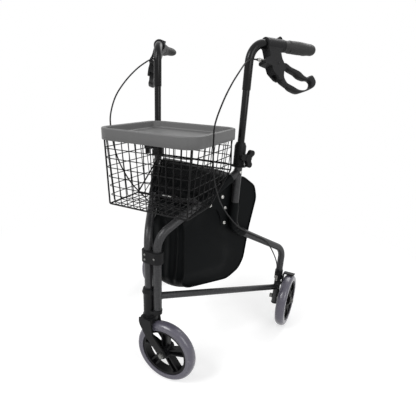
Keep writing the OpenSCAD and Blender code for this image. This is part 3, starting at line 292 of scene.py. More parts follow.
class Piece:
    """Gathers grids of points, joins each to quads, and makes one mesh object of them all."""

    def __init__(self):
        self.points, self.faces, self.uvs, self.count = [], [], [], 0

    def grid(self, p, around=True, loop=False, caps=False, uv=None):
        """Rows and columns of points: around closes the columns, loop the rows, caps both end rows."""
        p = np.asarray(p, float)
        rows, cols = p.shape[:2]
        i, j = np.meshgrid(np.arange(rows - (not loop)), np.arange(cols - (not around)), indexing="ij")
        i2, j2 = (i + 1) % rows, (j + 1) % cols
        quads = np.stack([i * cols + j, i * cols + j2, i2 * cols + j2, i2 * cols + j], -1).reshape(-1, 4)
        u, v = uv if uv else (np.arange(rows + 1) / rows, np.arange(cols + 1) / cols)
        corners = np.stack([np.stack([u[i], v[j]], -1), np.stack([u[i], v[j + 1]], -1),
                            np.stack([u[i + 1], v[j + 1]], -1), np.stack([u[i + 1], v[j]], -1)], 2)
        self.points.append(p.reshape(-1, 3))
        self.faces += (quads + self.count).tolist()
        self.uvs.append(corners.reshape(-1, 2))
        if caps:
            ends = np.stack([np.arange(cols)[::-1], np.arange(cols) + (rows - 1) * cols])
            self.faces += (ends + self.count).tolist()
            self.uvs.append(np.zeros((2 * cols, 2)))
        self.count += rows * cols
        return self

    def build(self, name, look, slot, body=None, stands_for=(), sharp=40.0):
        """Makes the object: doubles merged, faces outward, edges sharper than an angle kept sharp."""
        mesh = bpy.data.meshes.new(name)
        mesh.from_pydata((np.concatenate(self.points) * 0.001).tolist(), [], self.faces)
        mesh.uv_layers.new(name="UVMap").data.foreach_set("uv", np.concatenate(self.uvs).ravel())
        tidy = bmesh.new()
        tidy.from_mesh(mesh)
        bmesh.ops.remove_doubles(tidy, verts=tidy.verts, dist=2e-6)
        bmesh.ops.recalc_face_normals(tidy, faces=tidy.faces)
        tidy.to_mesh(mesh)
        tidy.free()
        return settle(name, mesh, look, body, stands_for, sharp)


def settle(name, mesh, look, body, stands_for, sharp):
    """Links a mesh as an object with its finish, says what it rides on, and hides the parts it stands for."""
    mesh.shade_smooth()
    mesh.set_sharp_from_angle(angle=np.radians(sharp))
    mesh.materials.clear()
    mesh.materials.append(look)
    obj = bpy.data.objects.new(name, mesh)
    bpy.context.scene.collection.objects.link(obj)
    if body:
        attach(obj, body)
    if stands_for:
        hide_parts(*stands_for)
    return obj


def dress(node, look, bevel=0.7, segments=2):
    """Copy of a solid with its doubles merged, flat faces joined and edges rounded by bevel millimetres."""
    mesh = nodes[node].data.copy()
    tidy = bmesh.new()
    tidy.from_mesh(mesh)
    bmesh.ops.remove_doubles(tidy, verts=tidy.verts, dist=1e-5)
    bmesh.ops.dissolve_limit(tidy, angle_limit=np.radians(1.5), verts=tidy.verts, edges=tidy.edges)
    tidy.to_mesh(mesh)
    tidy.free()
    obj = settle(node + "_finished", mesh, look, nodes[node]["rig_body"], (node,), 33.0)
    edge = obj.modifiers.new("rounded", "BEVEL")
    edge.width, edge.segments = bevel * 0.001, segments
    edge.limit_method, edge.angle_limit = "ANGLE", np.radians(33.0)
    edge.harden_normals = True
    return obj


# Finishes
class Value:
    """A shader socket that takes part in arithmetic: each operator adds one Math node."""

    def __init__(self, tree, socket):
        self.tree, self.socket = tree, socket

    def node(self, kind, settings=None, inputs=None, out=0):
        """Adds any other node: its settings first, then the values or links of its sockets."""
        made = self.tree.nodes.new(kind)
        for key, value in (settings or {}).items():
            setattr(made, key, value)
        for key, value in (inputs or {}).items():
            if isinstance(value, Value):
                self.tree.links.new(value.socket, made.inputs[key])
            else:
                made.inputs[key].default_value = value
        return Value(self.tree, made.outputs[out])

    def math(self, operation, a, b=0.0):
        """Adds one Math node on two numbers or sockets."""
        return self.node("ShaderNodeMath", {"operation": operation}, {0: a, 1: b})

    def __add__(self, other):
        return self.math("ADD", self, other)

    def __sub__(self, other):
        return self.math("SUBTRACT", self, other)

    def __rsub__(self, other):
        return self.math("SUBTRACT", other, self)

    def __mul__(self, other):
        return self.math("MULTIPLY", self, other)

    __radd__ = __add__
    __rmul__ = __mul__


def colour(code):
    """Linear colour of a hex code: each channel above a small toe is ((c + 0.055) / 1.055) ^ 2.4."""
    c = np.array([int(code[k:k + 2], 16) for k in (0, 2, 4)]) / 255.0
    c = np.where(c <= 0.04045, c / 12.92, ((c + 0.055) / 1.055) ** 2.4)
    return (*c.tolist(), 1.0)


def noise(spot, scale, detail=2.0, rough=0.5):
    """Cloudy noise, about scale patches to the metre, with finer copies added as detail says."""
    return spot.node("ShaderNodeTexNoise", {},
                     {"Vector": spot, "Scale": scale, "Detail": detail, "Roughness": rough})


def cells(spot, scale, feature="F1"):
    """Distance to the nearest of scattered points, about scale of them to the metre."""
    return spot.node("ShaderNodeTexVoronoi", {"feature": feature}, {"Vector": spot, "Scale": scale})


def ramp(value, lo, hi, low=0.0, high=1.0):
    """Smooth step of a value from lo to hi, carried to the span from low to high."""
    return value.node("ShaderNodeMapRange", {"interpolation_type": "SMOOTHSTEP"},
                      {"Value": value, "From Min": lo, "From Max": hi, "To Min": low, "To Max": high})


def tint(part, low, high):
    """Mix of two colours: low where part is 0 and high where it is 1."""
    return part.node("ShaderNodeMix", {"data_type": "RGBA"},
                     {0: part, 6: colour(low), 7: colour(high)}, 2)


def relief(height, strength, distance):
    """Normal tipped by the slope of a height that is distance metres deep."""
    return height.node("ShaderNodeBump", {},
                       {"Strength": strength, "Distance": distance, "Height": height})


def look(name, recipe):
    """One finish: recipe takes the object coordinates and gives what goes into each socket of the shader."""
    made = bpy.data.materials.new(name)
    made.use_nodes = True
    tree = made.node_tree
    shader = tree.nodes["Principled BSDF"]
    spot = Value(tree, tree.nodes.new("ShaderNodeTexCoord").outputs["Object"])
    for key, value in recipe(spot).items():
        if isinstance(value, Value):
            tree.links.new(value.socket, shader.inputs[key])
        else:
            shader.inputs[key].default_value = value
    return made


def hammered_paint(spot):
    """Grey hammer paint: shallow round dimples a few millimetres wide, paler tops and cloudy gloss."""
    dimple = ramp(cells(spot, 260.0, "SMOOTH_F1"), 0.05, 0.75)
    cloud = noise(spot, 14.0, 3.0)
    return {"Base Color": tint(dimple * 0.55 + cloud * 0.45, "232324", "3c3c3e"), "Metallic": 0.15,
            "Roughness": 0.30 + cloud * 0.16,
            "Normal": relief(dimple + noise(spot, 900.0) * 0.15, 0.35, 0.0006),
            "Specular IOR Level": 0.32, "Coat Weight": 0.06, "Coat Roughness": 0.2}


def black_enamel(spot):
    """Black enamel on the sliding handles: smooth, a little uneven, with fine rub marks."""
    cloud = noise(spot, 22.0, 3.0)
    rub = ramp(noise(spot, 160.0, 4.0), 0.55, 0.75)
    return {"Base Color": tint(cloud * 0.6 + rub * 0.4, "09090a", "141415"),
            "Roughness": 0.20 + cloud * 0.12 + rub * 0.08,
            "Normal": relief(noise(spot, 420.0), 0.06, 0.0005), "Specular IOR Level": 0.2}


def moulded_black(low, high, base, grain, strength):
    """Moulded plastic: fine spark-eroded grain from small cells, with slight cloudy shine."""
    def recipe(spot):
        cloud = noise(spot, 30.0, 3.0)
        fine = cells(spot, grain, "SMOOTH_F1") + noise(spot, grain * 1.7, 2.0) * 0.5
        return {"Base Color": tint(cloud, low, high), "Roughness": base + cloud * 0.14,
                "Normal": relief(fine, strength, 0.0003), "Specular IOR Level": 0.13}
    return recipe


def tyre_rubber(spot):
    """Blue-grey tyre: smooth and shiny with faint flow marks and dusty patches."""
    cloud = noise(spot, 18.0, 4.0)
    flow = noise(spot, 75.0, 3.0, 0.6)
    return {"Base Color": tint(cloud * 0.6 + flow * 0.4, "474550", "65626f"),
            "Roughness": 0.18 + flow * 0.16,
            "Normal": relief(flow + noise(spot, 500.0) * 0.1, 0.10, 0.0008),
            "Specular IOR Level": 0.5, "Coat Weight": 0.2, "Coat Roughness": 0.12}


def coated_vinyl(spot):
    """Coated bag cloth: pebble grain of small cells over a fine weave, and soft creases."""
    grain = cells(spot, 620.0, "SMOOTH_F1")
    weave = noise(spot, 1500.0, 1.0)
    crease = noise(spot, 11.0, 4.0, 0.55)
    shade = noise(spot, 5.0, 2.0)
    return {"Base Color": tint(shade * 0.7 + grain * 0.2, "060809", "0e1011"),
            "Roughness": 0.40 + crease * 0.2,
            "Normal": relief(grain * 0.35 + weave * 0.12 + crease * 2.0, 0.30, 0.0012),
            "Specular IOR Level": 0.07}


def grip_rubber(spot):
    """Soft grip: matt, pitted by two sizes of fine cells, greyer where the hand rubs."""
    pit = cells(spot, 900.0) * 0.6 + cells(spot, 420.0) * 0.4
    rub = noise(spot, 26.0, 3.0)
    return {"Base Color": tint(rub, "242424", "333333"), "Roughness": 0.52 + rub * 0.2,
            "Normal": relief(pit, 0.25, 0.0005), "Specular IOR Level": 0.3}


def tray_plastic(spot):
    """Grey moulded tray: leather-fine grain and a cloudy satin."""
    cloud = noise(spot, 9.0, 3.0)
    grain = cells(spot, 700.0, "SMOOTH_F1") + noise(spot, 1300.0) * 0.4
    return {"Base Color": tint(cloud, "5b5b5b", "686868"), "Roughness": 0.40 + cloud * 0.12,
            "Normal": relief(grain, 0.12, 0.0004), "Specular IOR Level": 0.35}


def wire_coat(spot):
    """Dipped black coat on the wires: glossy, with small runs and drops."""
    run = noise(spot, 120.0, 3.0)
    return {"Base Color": tint(run, "060607", "101011"), "Roughness": 0.34 + run * 0.16,
            "Normal": relief(run, 0.15, 0.0006), "Specular IOR Level": 0.14}


def bright_steel(spot):
    """Plated steel: metal with fine streaks and slightly dull patches."""
    streak = noise(spot, 240.0, 4.0, 0.6)
    dull = noise(spot, 45.0, 2.0)
    return {"Base Color": tint(dull, "9c9b98", "d2d1ce"), "Metallic": 1.0,
            "Roughness": 0.22 + streak * 0.2, "Normal": relief(streak, 0.08, 0.0003)}


def dull_steel(spot):
    """Dull rivet steel: greyed metal with fine streaks."""
    streak = noise(spot, 200.0, 4.0, 0.6)
    return {"Base Color": tint(streak, "5a5a59", "8b8b89"), "Metallic": 1.0,
            "Roughness": 0.38 + streak * 0.2, "Normal": relief(streak, 0.08, 0.0003)}


def cable_sheath(spot):
    """Cable sheath: black, half shiny, with a faint ripple."""
    ripple = noise(spot, 300.0, 2.0)
    return {"Base Color": tint(ripple, "101011", "1d1d1e"), "Roughness": 0.34 + ripple * 0.16,
            "Normal": relief(ripple, 0.12, 0.0003), "Specular IOR Level": 0.15}


def label_paper(spot):
    """Blank white label: satin film, a little dusty."""
    dust = noise(spot, 60.0, 3.0)
    return {"Base Color": tint(dust, "c9c9c7", "e4e4e2"), "Roughness": 0.38 + dust * 0.2,
            "Normal": relief(dust, 0.05, 0.0003), "Specular IOR Level": 0.3}


LOOKS = {
    "paint": look("hammered_grey_paint", hammered_paint),
    "enamel": look("black_handle_enamel", black_enamel),
    "plastic": look("moulded_black_plastic", moulded_black("131314", "1e1e1f", 0.38, 850.0, 0.22)),
    "wheel": look("black_wheel_plastic", moulded_black("0b0b0d", "151517", 0.32, 700.0, 0.14)),
    "brake": look("charcoal_brake_plastic", moulded_black("1c1c1d", "272728", 0.44, 900.0, 0.22)),
    "tyre": look("blue_grey_tyre", tyre_rubber),
    "vinyl": look("black_bag_vinyl", coated_vinyl),
    "grip": look("charcoal_grip_rubber", grip_rubber),
    "tray": look("grey_tray_plastic", tray_plastic),
    "wire": look("black_wire_coat", wire_coat),
    "steel": look("plated_steel", bright_steel),
    "rivet": look("dull_rivet_steel", dull_steel),
    "sheath": look("black_cable_sheath", cable_sheath),
    "label": look("blank_white_label", label_paper),
}


# Frame tubes
def weld_bead(side, foot, ahead, r, axis_ahead, axis_r, size=1.9):
    """Bead where a tube of radius r ends on a round post: for each angle round the tube, the point on its
    surface whose distance from the post's axis equals the post's radius, with a ripple on the bead's
    thickness."""
    a = np.linspace(0, 2 * np.pi, 96, endpoint=False)
    ahead, axis_ahead = unit(np.asarray(ahead, float)), unit(np.asarray(axis_ahead, float))
    square = np.array([-ahead[1], ahead[0]])
    normal = np.array([-axis_ahead[1], axis_ahead[0]])
    off, out = r * np.cos(a), r * np.sin(a)
    reach = np.sqrt(np.maximum(axis_r**2 - out**2, 0.01))
    t = (reach - off * (square @ normal)) / (ahead @ normal)
    t = np.where(ahead @ normal > 0, t, (-reach - off * (square @ normal)) / (ahead @ normal))
    flat = np.asarray(foot, float) + t[:, None] * ahead + off[:, None] * square
    path = in_side(side, out, flat[:, 0], flat[:, 1])
    middle = in_side(side, 0.0, *(flat.mean(0)))
    thick = size + 0.25 * np.sin(14 * a) + 0.12 * np.sin(37 * a)
    return sweep(path, thick, unit(path - middle), 10, closed=True)


def plane_tube(side, path, r, sides=36, edge=1.2):
    """Round tube along a path in its side frame's plane."""
    flat = np.asarray(path, float)
    points, radius = rounded_ends(in_side(side, 0.0, flat[:, 0], flat[:, 1]), r, edge)
    across = in_side(side, 1.0, 0.0, 0.0) - in_side(side, 0.0, 0.0, 0.0)
    return sweep(points, radius, across, sides)


for name, side in SIDES.items():
    body = name + "_frame"
    junction = on_upright(JUNCTION_Z)
    climb = np.array(junction) - np.array([0.0, FRONT_BEND_Z])
    front = Piece()
    line = bent([(0, FOOT_Z[name]), (0, FRONT_BEND_Z), np.array(junction) - 5 * unit(climb)], [60])
    front.grid(plane_tube(side, line, TUBE_R), caps=True)
    front.grid(weld_bead(side, junction, -climb, TUBE_R, (np.tan(LEAN), 1), TUBE_R), loop=True)
    front.build("front_tube_" + name + "_painted", LOOKS["paint"], "frame_paint", body,
                ("front_tube_" + name,))
    bend = bent([on_upright(UPRIGHT_TOP_Z), KNEE, HEEL, (float(leg(70)), 70.0)], [50, 50])
    Piece().grid(plane_tube(side, bend, TUBE_R), caps=True).build(
        "leg_tube_" + name + "_painted", LOOKS["paint"], "frame_paint", body, ("leg_tube_" + name,))
    ahead = np.array([0.0, CROSS_FRONT_Z])
    rear = np.array([float(leg(CROSS_REAR_Z)), CROSS_REAR_Z])
    fall = unit(rear - ahead)
    cross = Piece()
    cross.grid(plane_tube(side, [fall * 5 + ahead, rear - fall * 5], CROSS_R), caps=True)
    cross.grid(weld_bead(side, ahead, fall, CROSS_R, (0, 1), TUBE_R, 1.1), loop=True)
    cross.grid(weld_bead(side, rear, -fall, CROSS_R, (np.tan(LEAN), 1), TUBE_R), loop=True)
    cross.build("cross_tube_" + name + "_painted", LOOKS["paint"], "frame_paint", body,
                ("cross_tube_" + name,))

    holder = "handle_" + name
    stem = [on_upright(STEM_LOW_Z), on_upright(STEP_Z + 30)]
    Piece().grid(plane_tube(side, stem, STEM_R), caps=True).build(
        "stem_" + name + "_enamelled", LOOKS["enamel"], "black_metal", holder, ("stem_" + name,))
    curve = bent([on_upright(STEP_Z), (BRAKE_S, HANDLE_Z), (BRAKE_S + HANDLE_REACH, HANDLE_Z)], [48], 22)
    Piece().grid(plane_tube(side, curve, TUBE_R, edge=1.0), caps=True).build(
        "handle_tube_" + name + "_enamelled", LOOKS["enamel"], "black_metal", holder,
        ("handle_tube_" + name,))


# Grips, levers, cables and springs
def grip_surface(side):
    """Grip: a radius along the handle, with ribs by a cosine of y and a palm wing at its rear end: a lobe of
    cos(a - a0)^7 that grows by a smooth step."""
    y = np.concatenate([[112.0, 112.4], np.linspace(114, 226, 90), [229, 231.5, 233.2, 234.0]])[:, None]
    a = np.linspace(0, 2 * np.pi, 72, endpoint=False)[None, :]
    base = 15.0 + 1.6 * smooth(129, 134, y) + 0.7 * np.sin(np.pi * smooth(134, 224, y))
    base = base - 0.9 * np.exp(-((y - 133.0) / 1.4) ** 2) + 0.5 * np.exp(-((y - 115.5) / 1.5) ** 2)
    rib = 0.5 + 0.5 * np.cos(2 * np.pi * y / 6.0)
    base = base - 0.35 * rib * smooth(136, 140, y) * smooth(218, 212, y)
    wing = 23.0 * smooth(168, 228, y) * np.clip(np.cos(a - np.pi - 0.12), 0, 1) ** 7
    swell = 1.2 * smooth(170, 225, y) * np.cos(2 * (a + 0.3))
    close = (np.sqrt(np.clip(1 - ((y - 224.0).clip(0) / 10.0) ** 2 * 0.42, 0.05, 1))
             * (1 - 0.05 * smooth(112.4, 112.0, y)))
    r = (base + wing + swell) * close
    return in_side(side, r * np.cos(a), BRAKE_S + y + 0 * a, HANDLE_Z + r * np.sin(a))


OUTER = [(106, -46), (130, -55), (164, -65), (180, -75.5), (195, -79.5), (208, -74), (217, -73), (225, -82),
         (227, -93), (216, -105.5), (190, -115.5), (166, -121.5), (146, -125), (126, -120.5), (104, -109),
         (92, -80)]
INNER = [(108, -60), (122, -66.5), (142, -74), (157, -83), (178, -88), (190, -88), (198, -89), (204, -93),
         (206, -98), (200, -107), (186, -112.5), (170, -115.5), (151, -114.5), (130, -106.5), (108, -97),
         (99, -80)]


def lever_loop(side):
    """Finger loop: a squarish section between an outer and an inner closed curve, wider at its far end."""
    outer, inner = spline(OUTER, 9, True), spline(INNER, 9, True)
    a = np.linspace(0, 2 * np.pi, 28, endpoint=False)[None, :]
    corner = lambda t: np.sign(t) * np.abs(t) ** 0.55
    mix = 0.5 + 0.5 * corner(np.cos(a))
    y = inner[:, :1] * (1 - mix) + outer[:, :1] * mix
    z = inner[:, 1:] * (1 - mix) + outer[:, 1:] * mix
    half = 6.5 + 2.5 * smooth(104, 118, y)
    return in_brake(side, half * corner(np.sin(a)), y, z)


def plate(place, outline, half, edge, middle=0.0):
    """Flat plate: an outline drawn in by a quarter circle at both faces, closed by flat caps."""
    n = loop_normals(outline)
    a = np.linspace(0, np.pi / 2, 4)
    draw = np.concatenate([edge * (1 - np.cos(a))[::-1], edge * (1 - np.cos(a))])[:, None, None]
    x = np.concatenate([-half + edge - edge * np.sin(a)[::-1], half - edge + edge * np.sin(a)])[:, None]
    rows = outline[None] - draw * n[None]
    return place(middle + x + 0 * rows[..., 0], rows[..., 0], rows[..., 1])


def lever_hub(side):
    """Lever's plate inside the housing: a rounded outline from the pivot to the loop."""
    outline = even_loop([(76, -37), (100, -43), (112, -48), (110, -60), (101, -62), (97, -84), (105, -96),
                         (110, -101), (108, -111), (84, -98), (76, -88), (66, -62), (63, -50)], 110, 2.5)
    return plate(lambda x, y, z: in_brake(side, x, y, z), outline, 6.4, 1.0)


CABLE_START = np.array([42.0 * np.sin(BRAKE_TILT), BRAKE_S + 13.0, HANDLE_Z - 42.0 * np.cos(BRAKE_TILT)])
PULL_Y = 18.0
CABLE_STOP = np.array([PULL_Y * np.sin(SPLAY), AXLE_S - PULL_Y * np.cos(SPLAY), WHEEL_R + 104.0])
CABLE = np.concatenate([
    CABLE_START + [(0, 4, 0), (0, -8, 0), (1.5, -21, -1), (13, -48, -10), (35, -84, -31), (59, -128, -64),
                   (78, -165, -102)],
    [(100, 91, 714), (100, 89, 678), (96, 93, 638), (88, 102, 598), (76, 120, 558), (60, 147, 517),
     (40, 182, 479), (26, 218, 443), (20, 252, 411), (16, 287, 388), (15, 330, 363), (15, 372, 339),
     (13, 404, 304)],
    CABLE_STOP + [(1.5, -20, 66), (0.5, -5, 33), (0, 0, 0)]])

for name, side in SIDES.items():
    Piece().grid(grip_surface(side), caps=True).build(
        "grip_" + name + "_moulded", LOOKS["grip"], "grip_rubber", "handle_" + name, ("grip_" + name,),
        50.0)
    lever = Piece().grid(lever_loop(side), loop=True).grid(lever_hub(side), caps=True)
    lever.build("lever_" + name + "_moulded", LOOKS["brake"], "black_plastic", "lever_" + name,
                ("brake_lever_" + name,), 50.0)

    route = spline(CABLE, 10)
    points = in_side(side, route[:, 0], route[:, 1], route[:, 2])
    rows, radius = rounded_ends(points, 1.9, 0.5, 3)
    cable = Piece().grid(sweep(rows, radius, (1, 0.01, 0.02), 12), caps=True).build(
        "cable_" + name + "_sheathed", LOOKS["sheath"], "cable_sheath", None, ("brake_cable_" + name,))
    low, high = (in_side(side, *CABLE[k]) * 0.001 for k in (9, 2))
    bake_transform(cable)

    turn = np.linspace(0, 1, 6 * 26)
    angle = 12 * np.pi * turn
    coil = in_axle(side, 4 * np.cos(angle), -PULL_Y + 4 * np.sin(angle), 73.0 + 23.0 * turn)
    middle = in_axle(side, 0.0, -PULL_Y, 0.0)
    outward = (coil - middle) * (1, 1, 0)
    spring = Piece().grid(sweep(coil, 0.7, unit(outward), 8), caps=True).build(
        "spring_" + name + "_wound", LOOKS["steel"], "bright_steel", name + "_frame",
        ("brake_spring_" + name,))
    tuple((in_axle(side, 0, -PULL_Y, 97.0) * 0.001).tolist())
    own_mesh(spring)


# Wheels
def tyre_profile():
    """Section of a tyre as (radius, width), run once round: flat walls and a tread crowned by a power law."""
    wall = np.array([(70.0, -12.5), (70.0, -14.4), (71.0, -15.0), (74.0, -15.0), (74.6, -14.6),
                     (75.2, -15.0), (81.0, -15.0)])
    a = np.linspace(-1, 1, 25)
    tread = np.stack([WHEEL_R - 6.6 * np.abs(a) ** 2.6, 14.6 * np.sign(a) * np.abs(a) ** 0.9], -1)
    return np.concatenate([wall, tread, (wall * (1, -1))[::-1]])


def revolved(place, profile, turns=128):
    """Profile of (radius, width) turned about an axle; place takes width and two radial coordinates."""
    a = np.linspace(0, 2 * np.pi, turns, endpoint=False)[:, None]
    r, w = profile[None, :, 0], profile[None, :, 1]
    return place(w + 0 * a, r * np.cos(a), r * np.sin(a))


WHEELS = {
    "front": ("front_wheel", lambda w, u, v: in_caster(TRAIL + u, w, WHEEL_R + v)),
    "rear_left": ("wheel_left", lambda w, u, v: in_axle(1, WHEEL_OUT + w, u, v)),
    "rear_right": ("wheel_right", lambda w, u, v: in_axle(-1, WHEEL_OUT + w, u, v)),
}
for name, (body, place) in WHEELS.items():
    node = "front_tyre" if name == "front" else "rear_tyre_" + name[5:]
    Piece().grid(revolved(place, tyre_profile()), loop=True).build(
        node + "_rubber", LOOKS["tyre"], "tyre", body, (node,), 35.0)


# Wire basket
def part_up(z):
    """Part of the way up the basket: 0 at its floor and 1 at its rim."""
    return (np.asarray(z, float) - FLOOR_Z) / (RIM_Z - FLOOR_Z)


def basket_half(z):
    """Half width, which tapers toward the floor."""
    return RIM_HALF - (1 - part_up(z)) * 17.0


def basket_front(z):
    """Front panel, which leans back toward the floor."""
    return RIM_FRONT + (1 - part_up(z)) * 9.0


def basket_back(z):
    """Back panel: leans out to the rear wire above the slope, and the slope runs from there to the floor."""
    z = np.asarray(z, float)
    lean = (REAR_WIRE_Y - 4.0 - RIM_BACK) / (RIM_Z - REAR_WIRE_Z)
    top = RIM_BACK + (RIM_Z - SLOPE_TOP_Z) * lean
    slope = FLOOR_BACK + (z - FLOOR_Z) / (SLOPE_TOP_Z - FLOOR_Z) * (top - FLOOR_BACK)
    return np.where(z >= SLOPE_TOP_Z, RIM_BACK + (RIM_Z - z) * lean, slope)


def basket_wire(piece, path, r, ref, closed=False, sides=8):
    """Round wire along a path of the basket, its free ends rounded off."""
    points = in_column(*np.asarray(path, float).T)
    if closed:
        piece.grid(sweep(points, r, ref, sides, closed=True), loop=True)
    else:
        rows, radius = rounded_ends(points, r, r * 0.8, 3)
        piece.grid(sweep(rows, radius, ref, sides), caps=True)


def ring_at(z, inset, corner):
    """Level loop of wire at height z, drawn in by inset."""
    half, front, back = (float(side(z)) for side in (basket_half, basket_front, basket_back))
    flat = rounded_box(half - inset, front + inset, back - inset, corner, 7)
    return np.column_stack([flat, np.full(len(flat), z)])


basket = Piece()
MESH_R, EDGE_R, RIM_R = 1.15, 2.1, 2.5
RIM_CORNER = 34.0
CORNER_IN = RIM_CORNER * (1 - np.cos(np.pi / 4))
basket_wire(basket, ring_at(RIM_Z, 0.0, RIM_CORNER), RIM_R, (0, 0, 1), True, 12)
for k in range(1, 7):
    z = FLOOR_Z + (RIM_Z - FLOOR_Z) * k / 7
    basket_wire(basket, ring_at(z, 2.2, 10.0 + 14.0 * float(part_up(z))), MESH_R, (0, 0, 1), True)
z0, z1 = FLOOR_Z, SLOPE_TOP_Z
floor_half, floor_front = float(basket_half(z0)), float(basket_front(z0))
slope_back = float(basket_back(z1))
profile = bent([(RIM_FRONT, RIM_Z), (floor_front, z0 - 1.2), (FLOOR_BACK, z0 - 1.2), (slope_back, z1),
                (RIM_BACK, RIM_Z)], [9, 9, 9], 7)
for u in 2 * np.arange(1, 12) / 12 - 1:
    x = u * (basket_half(profile[:, 1]) - 8.0 * part_up(profile[:, 1]))
    basket_wire(basket, np.column_stack([x, profile]), MESH_R, (1, 0, 0))
for k in range(1, 9):
    top_y = RIM_FRONT + (RIM_BACK - RIM_FRONT) * k / 9
    low_y = max(top_y, floor_front + 8.0)
    if low_y < 84.0:
        flat = bent([(-RIM_HALF, RIM_Z), (-floor_half, z0 - 0.5), (floor_half, z0 - 0.5),
                     (RIM_HALF, RIM_Z)], [9, 9], 7)
        y = low_y + (top_y - low_y) * part_up(flat[:, 1])
        basket_wire(basket, np.column_stack([flat[:, 0], y, flat[:, 1]]), MESH_R, (0, 1, 0))
        continue
    low_z = z0 + max(low_y - FLOOR_BACK, 0.0) / (slope_back - FLOOR_BACK) * (z1 - z0)
    for end in (-1, 1):
        low = (end * float(basket_half(low_z)), low_y, low_z)
        basket_wire(basket, [low, (end * RIM_HALF, top_y, RIM_Z)], MESH_R, (0, 1, 0))
for end in (-1, 1):
    edge = bent([(floor_front, z0), (FLOOR_BACK, z0), (slope_back, z1), (RIM_BACK - CORNER_IN, RIM_Z)],
                [8, 8], 7)
    across = end * (basket_half(edge[:, 1]) - CORNER_IN * smooth(z1, RIM_Z, edge[:, 1]))
    basket_wire(basket, np.column_stack([across, edge]), EDGE_R, (1, 0, 0), sides=12)
    corner = (end * (RIM_HALF - CORNER_IN), RIM_FRONT + CORNER_IN, RIM_Z)
    basket_wire(basket, [(end * floor_half, floor_front, z0), corner], EDGE_R, (1, 0, 0), sides=12)
for y, z, half in ((floor_front, z0, floor_half), (FLOOR_BACK, z0, floor_half),
                   (slope_back, z1, float(basket_half(z1))), (REAR_WIRE_Y, REAR_WIRE_Z, REAR_WIRE_HALF)):
    basket_wire(basket, [(-half, y, z), (half, y, z)], EDGE_R, (0, 0, 1), sides=12)
basket.build("basket_wires", LOOKS["wire"], "black_wire", "basket", ("basket_frame", "basket_mesh"), 60.0)


# Tray: a section carried round a rounded rectangle, then over the floor
def tray_surface():
    """Tray: rings of one rounded rectangle, each drawn in by d and set at height z along the section."""
    a = np.linspace(0, np.pi / 2, 6)
    lip = np.column_stack([3.0 - 3.0 * np.cos(a), -3.0 + 3.0 * np.sin(a)])
    inner = np.column_stack([7.6 + 2.6 * np.sin(a), -2.6 + 2.6 * np.cos(a)])
    fillet = np.column_stack([11.6 + 4.5 - 4.5 * np.cos(a), -14.5 - 4.5 * np.sin(a)])
    skirt = [(40.0, -21.5), (3.2, -21.5), (2.5, -22.2), (2.5, -27.4), (2.0, -28.0), (0.6, -28.0),
             (0.0, -27.4), (0.0, -16.0)]
    section = np.concatenate([skirt, lip, [(5.2, 0.0)], inner, [(11.0, -9.0)], fillet,
                              [(40.0, -19.0), (80.0, -18.8)]])
    section[:, 1] += TRAY_Z
    flat = np.stack([rounded_box(TRAY_HALF - d, TRAY_FRONT + d, TRAY_BACK - d, max(TRAY_CORNER - d, 4.0), 12)
                     for d in section[:, 0]])
    return in_column(flat[..., 0], flat[..., 1], section[:, 1][:, None] + 0 * flat[..., 0])


tray = Piece().grid(tray_surface(), caps=True)
tray.build("tray_moulded", LOOKS["tray"], "tray_plastic", "tray", ("tray",), 50.0)


# Bag: side panels with a band between them, its edges piped
BAG_CORNERS = [(124.5, 511), (204, 547), (222, 561), (262, 561), (302, 525), (312, 477), (294, 387),
               (282, 281), (266, 249), (226, 227), (96, 241), (76, 261), (74, 441), (86, 471),
               (106.5, 484.5), (124.5, 487.5)]


def bag_half(y):
    """Half width of the bag between the frames at a distance behind the columns."""
    return HALF_GAP + y * np.tan(SPLAY) - 15.1 / np.cos(SPLAY)


def bag_spread(y, z):
    """Extra half width where the bag fills the open triangle of the frames: smooth steps fade it out
    toward the diagonal tube above, the cross tube below and the straps behind."""
    slope = (JUNCTION_Z - FRONT_BEND_Z) / UPRIGHT_S
    room = FRONT_BEND_Z + y / np.cos(SPLAY) * slope - 13.0 - z
    reach = 85.0 + 95.0 * smooth(450, 320, z)
    return 14.0 * smooth(4, 34, room) * smooth(242, 300, z) * smooth(reach + 70, reach, y)


def bag_slump(across, z):
    """Drop of the bag's top: its mouth hangs lower on the left than on the right."""
    return -12.0 * across * smooth(470, 556, z)


